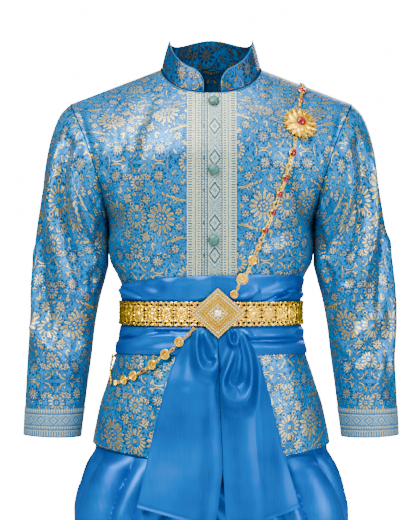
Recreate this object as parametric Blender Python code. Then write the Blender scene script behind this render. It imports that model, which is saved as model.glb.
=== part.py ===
"""A Thai men's costume set as it is worn, hollow: a brocade jacket, a satin sash, a plaque belt with a rhombus
buckle, a shoulder chain with a brooch, and a wrapped lower garment (chong kraben).

Sizes are in millimetres and become metres in the meshes. +x is the wearer's left, -y the front, +z up. The
origin is the middle of the neck, at the height where the shoulders carry the jacket.
"""

import bmesh
import bpy
import numpy as np

MM = 0.001

# Cloth and clearances
BROCADE = 2.0
SATIN = 1.4
COLLAR_CLOTH = 2.4
SEAM = 0.2  # each side of a seam stands back by this much
CLEAR = 0.4  # between one piece and the next that lies on it

# Driving sizes of the jacket
SEAM_Y = 5.0  # side and shoulder seams lie in this plane
SQUARE = 2.2  # exponent of the body's rounded section
UNDERARM_HEIGHT = -226.0
HEM_SIDE_HEIGHT = -584.0
HEM_DIP = 9.0
NECK_HALF_WIDTH = 79.0
NECK_HALF_DEPTH = {-1: 76.0, 1: 60.0}  # front and back
NECK_Y = 8.0
NECK_SQUARE = 2.5
NECK_SEAM_ANGLE = 89.0  # round the neck from the front to the shoulder seam
NECK_POINT_HEIGHT = 18.0
NECK_RISE = {-1: 8.0, 1: 38.0}  # of the ridge line inside the neck, front and back
SHOULDER_SLOPE = 0.385
SHOULDER_DROP = {-1: 150.0, 1: 120.0}  # height in which the shoulder rounds into the chest or the back
SHOULDER_ROUND = 1.5
OVERLAP_EDGE = -10.7  # the left front laps over to here
UNDERLAP_EDGE = 14.0
UNDERLAP_STEP = (11.2, 20.0)  # the right front sinks between these distances from the middle

# Rows of the jacket between the hem and the underarm, rows above it, and the row that meets the neckline
LOW_HEIGHTS = (-558, -528, -496, -466, -438, -408, -372, -340, -318, -302, -286, -258)
WAIST_ROW = LOW_HEIGHTS[6]
UPPER_ROWS = 11
NECK_ROW = 7
FRONT_COLUMNS = 9  # besides the first ones, which are set by their distance from the middle
BACK_COLUMNS = 10

# Driving sizes of the rest
SASH_GAP = 0.8
SASH_CLOTH = 2.6
SASH_MM_PER_DEGREE = 2.2
BELT_HEIGHT = -371.5
BELT_HALF_HEIGHT = 17.5
BELT_LIFT = 4.3
BELT_PLAQUES = 32
BUCKLE_X = 10.3
BUCKLE_HALF = 39.5
CROTCH_HEIGHT = -735.0
CROTCH_TOP = -592.0
LEG_GAP = 8.0  # half the space that the rolled end passes through
LEG_SPREAD = 10.0  # and how much wider it is at the knee


def table(names, *rows):
    """The named columns of the rows, each as an array."""
    return dict(zip(names.split(), np.array(rows, float).T))


# Half width, and depths to the front and the back from SEAM_Y, of the jacket's outer surface
BODY = table(
    "height half_width front back",
    (-620, 195, 136, 142),
    (-584, 190, 133, 139),
    (-555, 185.5, 130.5, 136.5),
    (-515, 177, 126, 132),
    (-491, 169, 122.5, 128.5),
    (-460, 159, 117, 122),
    (-438, 151.5, 113, 116.5),
    (-410, 144, 110, 111),
    (-372, 140, 107.5, 108),
    (-335, 142, 109, 109),
    (-312, 149, 113, 111.5),
    (-288, 160, 118, 114),
    (-255, 164, 121, 117),
    (-226, 166, 122.5, 120),
    (-180, 188, 123, 123),
    (-140, 235, 123, 125),
    (-95, 270, 122, 124),
    (-39, 300, 120, 121),
)
ARMHOLE = table(
    "share x height",
    (0.0, 166, -226),
    (0.25, 171, -186),
    (0.5, 183, -140),
    (0.75, 202, -88),
    (1.0, 225, -38.2),
)
# Sleeve rings: the outer and inner points seen from the front, half the depth, and how far back the middle lies
SLEEVE = table(
    "outer_x outer_z inner_x inner_z half_depth middle",
    (225, -38.2, 166.5, -226, 72, 5),
    (240.5, -54, 167.4, -232.5, 71, 5),
    (252.5, -80, 167.6, -239.5, 70, 5),
    (261, -112, 167.2, -248, 69, 4),
    (267.5, -150, 166.4, -259, 68, 4),
    (274, -200, 165.2, -273.5, 67, 4),
    (281, -252, 163.4, -291, 66, 3),
    (285, -302, 169.5, -319, 65, 2),
    (288, -348, 178, -351, 63.5, 1),
    (290.5, -396, 185.5, -394, 61.5, -1),
    (293, -440, 190.5, -438, 59, -3),
    (295, -480, 196, -479, 56, -6),
    (296.5, -516, 200.5, -516, 53, -9),
    (297.6, -542, 204.5, -543, 50.5, -11),
    (298.5, -565, 207.4, -568, 48.5, -12),
)
# Soft folds of the sleeve: their ends along it and round it, in degrees from the outer side, forward
SLEEVE_FOLDS = table(
    "start_along start_angle end_along end_angle half_width height",
    (0.04, 62, 0.34, 118, 11, -4.5),
    (0.10, 92, 0.30, 150, 9, 3.5),
    (0.30, 60, 0.62, 108, 13, 3.5),
    (0.42, 130, 0.66, 70, 12, -3.5),
    (0.62, 115, 0.90, 80, 12, 3.0),
    (0.08, 262, 0.34, 215, 11, -4.5),
    (0.36, 300, 0.66, 245, 13, 3.5),
    (0.60, 225, 0.86, 275, 12, 3.0),
)
SLEEVE_DEGREES = 320.0  # the sleeve's length in degrees round it, so that a fold is as wide both ways
# Half width and depths of the wrapped lower garment below the jacket
WRAP = table(
    "height half_width front back",
    (-975, 170, 84, 88),
    (-930, 180, 97, 101),
    (-870, 194, 118, 121),
    (-820, 203, 132, 134),
    (-775, 209, 143, 144),
    (-735, 213, 150, 151),
    (-705, 214.5, 152, 154),
    (-685, 214.5, 152, 154),
    (-660, 211, 149, 151),
    (-635, 203.5, 144, 147),
    (-610, 193.5, 135, 137),
    (-590, 186.0, 127.5, 129.5),
)
WRAP_HEIGHTS = (-372, -408, -438, -475, -530, -592, -615, -640, -664, -688)
WRAP_HEIGHTS += (-710, -727, -735, -775, -835, -905, -970)
WRAP_INSIDE = {"half_width": 5.0, "front": 6.0, "back": 7.0}  # how far it lies inside the jacket
# Draped folds of one leg: angle round it from the inside, forward, at the jacket's hem and 110 mm below
WRAP_FOLDS = table(
    "top_angle low_angle half_width height",
    (108, 90, 10, 6),
    (131, 126, 10, 8),
    (155, 166, 10, 9),
    (184, 200, 10, 8),
    (212, 222, 10, 8),
    (238, 262, 10, 7),
)
# Front edge points of the two sash tails, from the knot to the hem, and how far they stand off the body
TAIL = table(
    "share left_outer_x left_outer_z right_outer_x right_outer_z split_x split_z",
    (0.0, -26, -394, 45, -394, 10.0, -396),
    (0.14, -54, -436, 71, -434, 11.0, -436),
    (0.28, -68, -475, 84, -474, 12.5, -478),
    (0.5, -84, -535, 99, -535, 14.5, -536),
    (0.72, -98, -592, 113, -590, 17.5, -598),
    (0.88, -107, -637, 125.5, -632, 17.5, -646),
    (1.0, -113, -663, 135.5, -665, 16.0, -686),
)
TAIL_FORM = table(
    "height half_width front",
    (-700, 246, 169),
    (-660, 247, 165),
    (-625, 226, 155),
    (-592, 208, 144.5),
    (-550, 195, 137.5),
    (-500, 182, 130.5),
    (-438, 160, 119.5),
    (-394, 148, 113.5),
)
# Draped folds of the tails under the knot: the ends and the height of each ridge
TAIL_FOLDS = table(
    "start_x start_z end_x end_z half_width height",
    (-12, -402, -3, -446, 5, 5.0),
    (-3, -446, 9, -420, 5, 4.0),
    (20, -404, 19, -458, 5, 5.0),
    (19, -458, 36, -474, 6, 5.0),
    (36, -474, 42, -430, 6, 5.0),
    (42, -430, 32, -402, 5, 4.0),
)
# Soft ridges of the sash where it is drawn to the knot: angle round the body and height of each end
SASH_FOLDS = table(
    "start_angle start_z end_angle end_z half_width height",
    (14, -399, 62, -424, 6, 2.4),
    (18, -410, 50, -434, 5, 1.8),
    (-16, -399, -64, -412, 6, 2.4),
    (-22, -411, -58, -430, 5, 2.0),
    (10, -342, 58, -328, 6, 2.0),
    (-12, -340, -70, -346, 6, 2.2),
    (120, -336, 200, -330, 7, 2.0),
    (130, -405, 230, -415, 7, 2.2),
)
# The chain from the brooch to the buckle: each piece's place from the front, half its size, and its height
FRONT_CHAIN = table(
    "x z half_width half_length height",
    (130.3, -101, 3.0, 4.0, 3.0),
    (129.0, -111.6, 2.6, 3.5, 2.6),
    (126.2, -122.7, 5.5, 7.0, 4.0),
    (119.3, -144, 4.5, 5.0, 3.0),
    (114.8, -161.7, 5.0, 5.5, 4.0),
    (109.0, -177.5, 3.0, 4.0, 2.6),
    (105.6, -186.8, 4.5, 5.0, 4.0),
    (99.6, -201.5, 4.5, 5.0, 3.0),
    (95.7, -214.5, 4.5, 5.0, 4.0),
    (91.4, -225.3, 3.0, 4.0, 2.6),
    (83.4, -242.8, 4.5, 5.0, 4.0),
    (77.4, -256.8, 4.5, 4.5, 3.0),
    (72.6, -268.4, 5.0, 4.5, 3.0),
    (63.8, -288, 7.2, 7.2, 3.0),
    (57.4, -303.4, 3.0, 4.0, 2.6),
    (47.8, -317.1, 9.0, 9.0, 3.0),
    (41.1, -330.7, 3.0, 3.5, 2.6),
    (35.4, -341, 5.5, 5.0, 3.0),
)
# The chain below the belt: angle round the body, height, the same sizes, and how much more it lies over a tail
LOWER_CHAIN = table(
    "angle z half_width half_length height lift",
    (-9, -395.1, 3.0, 3.5, 2.6, 3.0),
    (-11.4, -402.9, 3.0, 4.0, 2.6, 3.0),
    (-16.7, -414, 7.5, 7.5, 3.0, 2.2),
    (-20.6, -426.8, 3.0, 4.0, 2.6, 0.6),
    (-24.8, -433.7, 8.0, 8.0, 3.0, 0),
    (-28.9, -443.4, 3.0, 3.5, 2.6, 0),
    (-33.1, -450.1, 7.0, 7.0, 3.0, 0),
    (-39.6, -460.3, 4.0, 7.0, 3.0, 0),
    (-46.1, -468, 7.0, 7.0, 3.0, 0),
    (-53.7, -475.4, 7.0, 7.0, 3.0, 0),
    (-62.4, -481, 4.5, 5.0, 3.0, 0),
)
BACK_CHAIN_HIP = (-71.0, -479.0)  # angle and height where it goes on behind
BACK_CHAIN_LAST = -130.0  # angle where it leaves the hip for the shoulder
BACK_CHAIN_CLIMB = 50.0  # between those two
CHAIN_SHOULDER = 146.0  # x where it crosses the shoulder
BACK_CHAIN_PIECES = 36
BROOCH = (138.0, -75.0, 27.5)  # x, z and radius
BUTTONS = ((3.8, -41.0), (3.8, -149.0), (3.8, -257.5))
BUTTON_RADIUS = 8.7

FABRIC_BLUE = (0.05, 0.31, 0.62, 1)
SATIN_BLUE = (0.01, 0.18, 0.66, 1)
COLLAR_BLUE = (0.02, 0.17, 0.44, 1)
GOLD = (0.76, 0.42, 0.05, 1)
JADE = (0.10, 0.30, 0.26, 1)
RUBY = (0.36, 0.005, 0.01, 1)
STONE = (0.85, 0.72, 0.55, 1)
# Colour, metallic and roughness of each material
LOOKS = {
    "brocade": (FABRIC_BLUE, 0.0, 0.55),
    "collar_brocade": (COLLAR_BLUE, 0.0, 0.5),
    "satin": (SATIN_BLUE, 0.0, 0.35),
    "gilt": (GOLD, 1.0, 0.3),
    "jade_button": (JADE, 0.0, 0.4),
    "ruby": (RUBY, 0.0, 0.1),
    "clear_stone": (STONE, 0.0, 0.1),
}


def curve(at, xs, ys):
    """A smooth curve through the points (xs, ys), level at each peak, so that it never overshoots them."""
    order = np.argsort(xs)
    xs, ys = np.asarray(xs, float)[order], np.asarray(ys, float)[order]
    steps = np.diff(ys) / np.diff(xs)
    slopes = np.zeros(len(xs))
    rising = steps[1:] * steps[:-1] > 0
    slopes[1:-1][rising] = 2 * (steps[1:] * steps[:-1])[rising] / (steps[1:] + steps[:-1])[rising]
    slopes[0], slopes[-1] = steps[0], steps[-1]
    at = np.clip(at, xs[0], xs[-1])
    i = np.clip(np.searchsorted(xs, at, side="right") - 1, 0, len(xs) - 2)
    span = xs[i + 1] - xs[i]
    t = (at - xs[i]) / span
    near = ys[i] * (1 + 2 * t) * (1 - t) ** 2 + slopes[i] * span * t * (1 - t) ** 2
    far = ys[i + 1] * (3 - 2 * t) * t**2 - slopes[i + 1] * span * (1 - t) * t**2
    return near + far


def step(t):
    """0 below 0, 1 above 1 and smooth between."""
    t = np.clip(t, 0, 1)
    return t * t * (3 - 2 * t)


def power(value, exponent):
    """The power of the size of value, with its sign kept."""
    return np.sign(value) * np.abs(value) ** exponent


def unit(vectors):
    return vectors / np.maximum(np.linalg.norm(vectors, axis=-1, keepdims=True), 1e-9)


def ridge_fold(x, z, start, end, half_width, height):
    """A soft ridge along the segment from start to end, fading out past its ends."""
    start, end = np.array(start, float), np.array(end, float)
    along = end - start
    length = np.hypot(*along)
    share = ((x - start[0]) * along[0] + (z - start[1]) * along[1]) / length**2
    nearest = np.clip(share, 0, 1)
    away = np.hypot(x - start[0] - nearest * along[0], z - start[1] - nearest * along[1])
    taper = 0.35 + 0.65 * np.sin(np.pi * np.clip(nearest, 0.08, 0.92))
    return height * taper * np.exp(-((away / half_width) ** 2))


# The body's form


def ridge_height(x, side):
    """Height of the shoulder line above x, on the front (side -1) or the back (side 1)."""
    x = np.abs(x)
    inside = NECK_POINT_HEIGHT + NECK_RISE[side] * (1 - (x / NECK_HALF_WIDTH) ** 2)
    outside = NECK_POINT_HEIGHT - SHOULDER_SLOPE * (x - NECK_HALF_WIDTH)
    return np.where(x < NECK_HALF_WIDTH, inside, outside)


def profile(z, column):
    """A column of BODY at z: straight between the jacket's rows, so that what lies on it meets its facets."""
    z = np.asarray(z, float)
    rows = np.array(sorted((HEM_SIDE_HEIGHT - 2 * HEM_DIP, HEM_SIDE_HEIGHT, *LOW_HEIGHTS, UNDERARM_HEIGHT)))
    low = np.interp(z, rows, curve(rows, BODY["height"], BODY[column]))
    return np.where(z < UNDERARM_HEIGHT, low, curve(z, BODY["height"], BODY[column]))


def form_y(x, z, side, out=0.0):
    """y of the jacket's surface, moved out, at x and z: a rounded section that closes in over the shoulder."""
    half_width = profile(z, "half_width") + out
    depth = profile(z, "front" if side < 0 else "back") + out
    section = (1 - np.clip(np.abs(x) / half_width, 0, 1) ** SQUARE) ** (1 / SQUARE)
    fall = np.clip((ridge_height(x, side) + out - z) / SHOULDER_DROP[side], 0, 1)
    shoulder = (1 - (1 - fall) ** SHOULDER_ROUND) ** (1 / SHOULDER_ROUND)
    return SEAM_Y + side * depth * section * shoulder


def around(angle, z, out=0.0):
    """Points round the body below the underarm. The angle is 0 in front and 90 at the wearer's left side."""
    turn = np.radians(angle)
    half_width = profile(z, "half_width") + out
    front = profile(z, "front") + out
    back = profile(z, "back") + out
    x = half_width * power(np.sin(turn), 2 / SQUARE)
    y = SEAM_Y - np.where(np.cos(turn) > 0, front, back) * power(np.cos(turn), 2 / SQUARE)
    return np.stack(np.broadcast_arrays(x, y, z), axis=-1)


def neck_point(angle):
    """A point of the neckline seam, on the jacket's surface. The angle is 0 in front and 180 behind."""
    turn = np.radians(angle)
    x = NECK_HALF_WIDTH * power(np.sin(turn), 2 / NECK_SQUARE)
    half_depth = np.where(np.cos(turn) > 0, NECK_HALF_DEPTH[-1], NECK_HALF_DEPTH[1])
    y = NECK_Y - half_depth * power(np.cos(turn), 2 / NECK_SQUARE)
    z = np.zeros_like(x)
    for side in (-1, 1):
        depth = BODY["front" if side < 0 else "back"][-1]
        section = (1 - (np.abs(x) / BODY["half_width"][-1]) ** SQUARE) ** (1 / SQUARE)
        reach = np.clip(side * (y - SEAM_Y) / (depth * section), 0, 1)
        fall = 1 - (1 - reach**SHOULDER_ROUND) ** (1 / SHOULDER_ROUND)
        z = np.where(side * (y - SEAM_Y) >= 0, ridge_height(x, side) - SHOULDER_DROP[side] * fall, z)
    return np.stack(np.broadcast_arrays(x, y, z), axis=-1)


def armhole(share):
    """x and z of the armhole seam, from the underarm (0) to the shoulder point (1)."""
    x = curve(share, ARMHOLE["share"], ARMHOLE["x"])
    z = curve(share, ARMHOLE["share"], ARMHOLE["height"])
    return x, z


# Meshes


def normals(grid, closed=False):
    """Unit normals of a grid of points, from the differences between neighbours."""
    if closed:
        across = np.roll(grid, -1, axis=1) - np.roll(grid, 1, axis=1)
    else:
        across = np.gradient(grid, axis=1)
    return unit(np.cross(across, np.gradient(grid, axis=0)))


def grid_triangles(rows, columns, closed=False):
    """Two triangles for each cell of a grid whose points are counted row by row."""
    cells = columns if closed else columns - 1
    i, j = np.meshgrid(np.arange(rows - 1), np.arange(cells), indexing="ij")
    a = i * columns + j
    b = i * columns + (j + 1) % columns
    halves = [np.stack([a, b, b + columns], -1), np.stack([a, b + columns, a + columns], -1)]
    return np.concatenate(halves).reshape(-1, 3)


def open_edges(faces):
    """The directed edges that only one of the triangles has."""
    edges = {(int(face[k]), int(face[k - 2])) for face in faces for k in range(3)}
    return np.array(sorted((a, b) for a, b in edges if (b, a) not in edges))


def material(look):
    """The named material, made once."""
    if look in bpy.data.materials:
        return bpy.data.materials[look]
    colour, metallic, roughness = LOOKS[look]
    made = bpy.data.materials.new(look)
    made.use_nodes = True
    shader = made.node_tree.nodes["Principled BSDF"]
    shader.inputs["Base Color"].default_value = colour
    shader.inputs["Metallic"].default_value = metallic
    shader.inputs["Roughness"].default_value = roughness
    return made


def add_object(name, look, points, faces):
    """One closed body as an object, its faces turned outward."""
    mesh = bpy.data.meshes.new(name)
    mesh.from_pydata((np.asarray(points) * MM).tolist(), [], [list(map(int, face)) for face in faces])
    shape = bmesh.new()
    shape.from_mesh(mesh)
    bmesh.ops.delete(shape, geom=[vertex for vertex in shape.verts if not vertex.link_faces], context="VERTS")
    bmesh.ops.recalc_face_normals(shape, faces=shape.faces)
    shape.to_mesh(mesh)
    shape.free()
    mesh.shade_smooth()
    mesh.set_sharp_from_angle(angle=np.radians(40))
    mesh.materials.append(material(look))
    made = bpy.data.objects.new(name, mesh)
    bpy.context.collection.objects.link(made)
    return made


def add_wall(name, look, outer, inner, closed=False, sheet=None):
    """A wall between two grids of the same size, with its edges closed. sheet may give its triangles."""
    rows, columns = outer.shape[:2]
    count = rows * columns
    if sheet is None:
        sheet = grid_triangles(rows, columns, closed)
    a, b = open_edges(sheet).T
    edges = [np.stack([b, a, a + count], -1), np.stack([b, a + count, b + count], -1)]
    points = np.concatenate([outer.reshape(-1, 3), inner.reshape(-1, 3)])
    return add_object(name, look, points, np.concatenate([sheet, sheet[:, ::-1] + count, *edges]))


def add_tube(name, look, rings):
    """A body of closed rings in a row, with a point in the middle of each end."""
    count, sides = rings.shape[:2]
    points = np.concatenate([rings.reshape(-1, 3), rings[[0, -1]].mean(axis=1)])
    first = np.arange(sides)
    last = first + (count - 1) * sides
    near, far = np.full(sides, count * sides), np.full(sides, count * sides + 1)
    ends = [np.stack([first, near, np.roll(first, -1)], -1), np.stack([last, np.roll(last, -1), far], -1)]
    return add_object(name, look, points, np.concatenate([grid_triangles(count, sides, True), *ends]))


def mirror(points):
    return points * np.array([-1, 1, 1])


# Jacket


def panel_rows(edge, side):
    """Each row of a half panel as its two ends seen from the front: x, z near the middle and x, z at the side."""
    rows = []
    for z in (HEM_SIDE_HEIGHT, *LOW_HEIGHTS):
        half_width = curve(z, BODY["height"], BODY["half_width"])
        dip = HEM_DIP * step((-540 - z) / 44)
        rows.append((edge, z - dip, half_width, z))
    start = float(np.degrees(np.arcsin(power(edge / NECK_HALF_WIDTH, NECK_SQUARE / 2))))
    first, last = (start, NECK_SEAM_ANGLE) if side < 0 else (180.0 - start, NECK_SEAM_ANGLE)
    neck_start = neck_point(np.array(first))
    for k in range(UPPER_ROWS + 1):
        side_x, side_z = armhole(k / UPPER_ROWS)
        if k < NECK_ROW:
            share = k / NECK_ROW
            x, z = edge, UNDERARM_HEIGHT + (neck_start[2] - UNDERARM_HEIGHT) * share
        else:
            share = (k - NECK_ROW) / (UPPER_ROWS - NECK_ROW)
            x, _, z = neck_point(np.array(first + (last - first) * share))
        rows.append((x, z, side_x, side_z))
    return np.array(rows, float)


def panel(lead, side, columns, sink=None):
    """Half a jacket panel, row by row, from its edge near the middle to the side seam and armhole.

    lead holds x of the first columns, and the others follow at even angles round the section.
    """
    lead = np.array(lead, float)
    ends = panel_rows(lead[0], side)
    reach = curve(ends[:, 3], BODY["height"], BODY["half_width"])[:, None]
    lead_x = ends[:, :1] + lead - lead[0]
    near = np.arcsin(power(lead_x / reach, SQUARE / 2))
    last = np.arcsin(np.clip(power(ends[:, 2:3] / reach, SQUARE / 2), 0, 1))
    shares = np.linspace(0, 1, columns)[1:]
    turn = np.concatenate([near, near[:, -1:] + (last - near[:, -1:]) * shares], axis=1)
    spread = power(np.sin(turn), 2 / SQUARE)
    share = (spread - spread[:, :1]) / (spread[:, -1:] - spread[:, :1])
    x = ends[:, :1] + (ends[:, 2:3] - ends[:, :1]) * share
    z = ends[:, 1:2] + (ends[:, 3:4] - ends[:, 1:2]) * share
    outer = np.stack([x, form_y(x, z, side), z], axis=-1)
    if sink:
        outer -= normals(outer) * side * sink(x)[..., None]
    return outer


def seam_edges(outer, side):
    """The wall's inner grid, with both seam edges square to their seam and standing back from it."""
    normal = normals(outer) * -side
    normal[:, -1, 1] *= np.arange(len(outer)) > len(LOW_HEIGHTS) + 1
    normal[-1, :, 1] = 0
    inner = outer - BROCADE * unit(normal)
    for grid in (outer, inner):
        grid[: len(LOW_HEIGHTS) + 2, -1, 1] += side * SEAM
        grid[-1, :, 1] += side * SEAM
    return inner


def sink_underlap(x):
    """How far the right front lies under the left one, x measured toward the wearer's right."""
    near, far = UNDERLAP_STEP
    return -(BROCADE + CLEAR + 0.6) * (1 - step((x - near) / (far - near)))


def make_jacket():
    """The two fronts and the back. It returns the armhole edges of the left side, outer points."""
    over = panel((OVERLAP_EDGE, 4.0, 20.0), -1, FRONT_COLUMNS)
    inner = seam_edges(over, -1)
    add_wall("jacket_front_left", "brocade", over, inner)
    under = panel((-UNDERLAP_EDGE, *UNDERLAP_STEP), -1, FRONT_COLUMNS, sink_underlap)
    inner = seam_edges(under, -1)
    add_wall("jacket_front_right", "brocade", mirror(under), mirror(inner))
    back = panel((0.0,), 1, BACK_COLUMNS)
    inner = seam_edges(back, 1)
    lowest = len(LOW_HEIGHTS) + 1
    inner[: lowest + NECK_ROW + 1, 0, 0] = 0
    outer = np.concatenate([mirror(back)[:, ::-1], back], axis=1)
    inner = np.concatenate([mirror(inner)[:, ::-1], inner], axis=1)
    add_wall("jacket_back", "brocade", outer, inner, sheet=split_sheet(*outer.shape[:2], lowest + NECK_ROW))
    return over[lowest:, -1], back[lowest:, -1]


def split_sheet(rows, columns, joined):
    """Triangles of two half panels that share their middle column up to the row joined, and are open above it."""
    middle = columns // 2
    index = np.arange(rows * columns).reshape(rows, columns)
    index[: joined + 1, middle] = index[: joined + 1, middle - 1]
    cells = grid_triangles(rows, columns)
    column = cells % columns
    between = (column.min(axis=1) == middle - 1) & (column.max(axis=1) == middle)
    return index.reshape(-1)[cells[~between]]


# Sleeves


def sleeve_rings(front_edge, back_edge):
    """The left sleeve's outer grid: rings that turn from the armhole's shape into ovals round the arm."""
    loop = np.concatenate([front_edge[::-1], back_edge[1:-1]])
    count = len(loop)
    turn = 2 * np.pi * np.arange(count) / count
    outer = np.stack([SLEEVE["outer_x"], SLEEVE["middle"], SLEEVE["outer_z"]], -1)
    inner = np.stack([SLEEVE["inner_x"], SLEEVE["middle"], SLEEVE["inner_z"]], -1)
    middle = (outer + inner) / 2
    long_way = (outer - inner) / 2
    away = loop - middle[0]
    long_share = away @ long_way[0] / (long_way[0] @ long_way[0])
    depth_share = -away[:, 1] / SLEEVE["half_depth"][0]
    rest = away - long_share[:, None] * long_way[0]
    rest[:, 1] += depth_share * SLEEVE["half_depth"][0]
    rings = []
    for k, half_depth in enumerate(SLEEVE["half_depth"]):
        blend = step(k / 5)
        across = long_share * (1 - blend) + np.cos(turn) * blend
        forward = depth_share * (1 - blend) + np.sin(turn) * blend
        ring = middle[k] + across[:, None] * long_way[k] + rest * (1 - blend)
        ring[:, 1] -= forward * half_depth
        rings.append(ring)
    return np.array(rings)


def sleeve_fold(along, angle):
    """Height of the soft folds at a share of the sleeve's length and an angle round it."""
    total = np.zeros(np.broadcast(along, angle).shape)
    long = SLEEVE_DEGREES
    for row in zip(*SLEEVE_FOLDS.values()):
        start, end = (row[0] * long, row[1]), (row[2] * long, row[3])
        total += ridge_fold(along * long, angle, start, end, row[4], row[5])
    return total


def make_sleeves(front_edge, back_edge):
    outer = sleeve_rings(front_edge, back_edge)
    count = outer.shape[1]
    along = np.linspace(0, 1, len(outer))[:, None]
    angle = 360 * np.arange(count) / count
    normal = normals(outer, closed=True)
    normal *= np.sign((normal * (outer - outer.mean(axis=1, keepdims=True))).sum())
    ramp = step(along / 0.12) * step((0.97 - along) / 0.1)
    facing = step((np.abs((angle + 180) % 360 - 180) - 25) / 30)
    outer = outer + normal * (sleeve_fold(along, angle) * ramp * facing)[..., None]
    along_x = SLEEVE["outer_z"][0] - SLEEVE["inner_z"][0]
    along_z = SLEEVE["inner_x"][0] - SLEEVE["outer_x"][0]
    outward = unit(np.array([along_x, 0, along_z]))
    outer[0] += (CLEAR - 0.05) * outward
    inner = outer - BROCADE * normal
    inward = outer[0].mean(axis=0) - outer[0]
    inward -= (inward @ outward)[:, None] * outward
    inner[0] = outer[0] + BROCADE * unit(inward)
    add_wall("sleeve_left", "brocade", outer, inner, closed=True)
    add_wall("sleeve_right", "brocade", mirror(outer), mirror(inner), closed=True)


# Collar

NECK_SEGMENTS = UPPER_ROWS - NECK_ROW


def neck_edge(angle):
    """A point on the straight runs that the jacket's panels make round the neck."""
    first = -np.degrees(np.arcsin((-OVERLAP_EDGE / NECK_HALF_WIDTH) ** (NECK_SQUARE / 2)))
    front = np.linspace(first, NECK_SEAM_ANGLE, NECK_SEGMENTS + 1)
    back = np.linspace(NECK_SEAM_ANGLE, 180, NECK_SEGMENTS + 1)
    knots = np.concatenate([front, back[1:], 360 - back[-2::-1], 360 - front[-2::-1]])
    points = neck_point(knots)
    return np.stack([np.interp(angle, knots, points[:, k]) for k in range(3)], axis=-1)


COLLAR_ENDS = (4.5, 357.2)  # angles of its two ends round the neck, from the front by the wearer's left
COLLAR_HEIGHT = table("angle height", (0, 34), (60, 41), (95, 45), (180, 45), (265, 45), (300, 41), (360, 34))
COLLAR_LEAN = (0.845, 0.87)
COLLAR_CORNER = 22.0


def make_collar():
    """A stand collar on the neckline seam, leaning in, with its two front ends rounded."""
    first, last = COLLAR_ENDS
    between = np.linspace(first + 14, last - 14, 24)
    angle = np.concatenate([[first, first + 2, first + 6], between, [last - 6, last - 2, last]])
    base = neck_edge(angle)
    base[:, 2] += CLEAR + 0.2
    height = curve(angle, COLLAR_HEIGHT["angle"], COLLAR_HEIGHT["height"])
    length = np.concatenate([[0], np.cumsum(np.linalg.norm(np.diff(base, axis=0), axis=1))])
    from_end = np.minimum(length, length[-1] - length)
    drop = COLLAR_CORNER - np.sqrt(np.clip(COLLAR_CORNER**2 - (COLLAR_CORNER - from_end).clip(0) ** 2, 0, None))
    height = height - drop
    top = base.copy()
    top[:, 0] = base[:, 0] * (1 - (1 - COLLAR_LEAN[0]) * height / 45)
    top[:, 1] = NECK_Y - 2 + (base[:, 1] - NECK_Y) * (1 - (1 - COLLAR_LEAN[1]) * height / 45)
    top[:, 2] += height
    share = np.linspace(0, 1, 4)[:, None, None]
    outer = base * (1 - share) + top * share
    outer[1:3] += 0.9 * unit((base - [0, NECK_Y, 0]) * [1, 1, 0])
    inward = unit(([0, NECK_Y, 0] - base) * [1, 1, 0])
    inner = outer + COLLAR_CLOTH * inward
    add_wall("collar", "collar_brocade", outer, inner)


# Small turned pieces


def add_turned(name, look, profile, sides):
    """A body turned about z from a profile of (radius, height) rows, whose first and last points are its poles."""
    profile = np.array(profile, float)
    turn = 2 * np.pi * np.arange(sides) / sides
    ring = np.stack([np.cos(turn), np.sin(turn), np.zeros(sides)], -1)
    rings = ring * profile[1:-1, :1, None] + profile[1:-1, 1:, None] * np.array([0, 0, 1])
    return add_tube(name, look, rings)


def place_on_front(made, x, z, out):
    """Sets an object that was made about z on the front of the jacket, its z axis square to the cloth."""
    reach = 6.0
    here = np.array([x, form_y(x, z, -1, out), z])
    across = np.array([2 * reach, form_y(x + reach, z, -1) - form_y(x - reach, z, -1), 0])
    up = np.array([0, form_y(x, z + reach, -1) - form_y(x, z - reach, -1), 2 * reach])
    outward = unit(np.cross(across, up))
    across = unit(np.cross(up, outward))
    up = np.cross(outward, across)
    for vertex in made.data.vertices:
        local = np.array(vertex.co) / MM
        vertex.co = (local[0] * across + local[1] * up + local[2] * outward) * MM
    made.location = tuple(here * MM)


def make_buttons():
    """Three domed buttons down the left front."""
    radius = BUTTON_RADIUS
    shape = ((0, 0), (0.62, 0), (1.0, 1.6), (0.97, 3.6), (0.74, 6.0), (0.36, 7.2), (0, 7.4))
    profile = [(radius * reach, height) for reach, height in shape]
    for number, (x, z) in enumerate(BUTTONS, 1):
        button = add_turned(f"button_{number}", "jade_button", profile, 12)
        place_on_front(button, x, z, CLEAR + 0.2)


# Sash


def sash_folds(angle, z):
    """Height of the sash's soft ridges."""
    total = np.zeros(np.broadcast(angle, z).shape)
    for row in zip(*SASH_FOLDS.values()):
        start, end = (row[0] * SASH_MM_PER_DEGREE, row[1]), (row[2] * SASH_MM_PER_DEGREE, row[3])
        turned = np.where(np.asarray(angle) > 180, angle - 360, angle) if row[0] < 100 else angle
        total += ridge_fold(turned * SASH_MM_PER_DEGREE, z, start, end, row[4], row[5])
    return total * (1 - belt_press(z))


def belt_press(z):
    """1 where the belt presses the sash flat, and 0 away from it."""
    return step((BELT_HALF_HEIGHT + 9 - np.abs(z - BELT_HEIGHT)) / 7)


def sash_edges(angle):
    """Heights of the sash's lower and upper edge round the body."""
    turned = np.radians(angle)
    upper = -325 + 13 * np.cos(turned) + 6 * np.sin(turned)
    lower = -436 + 2 * np.cos(turned)
    return lower, upper


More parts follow.
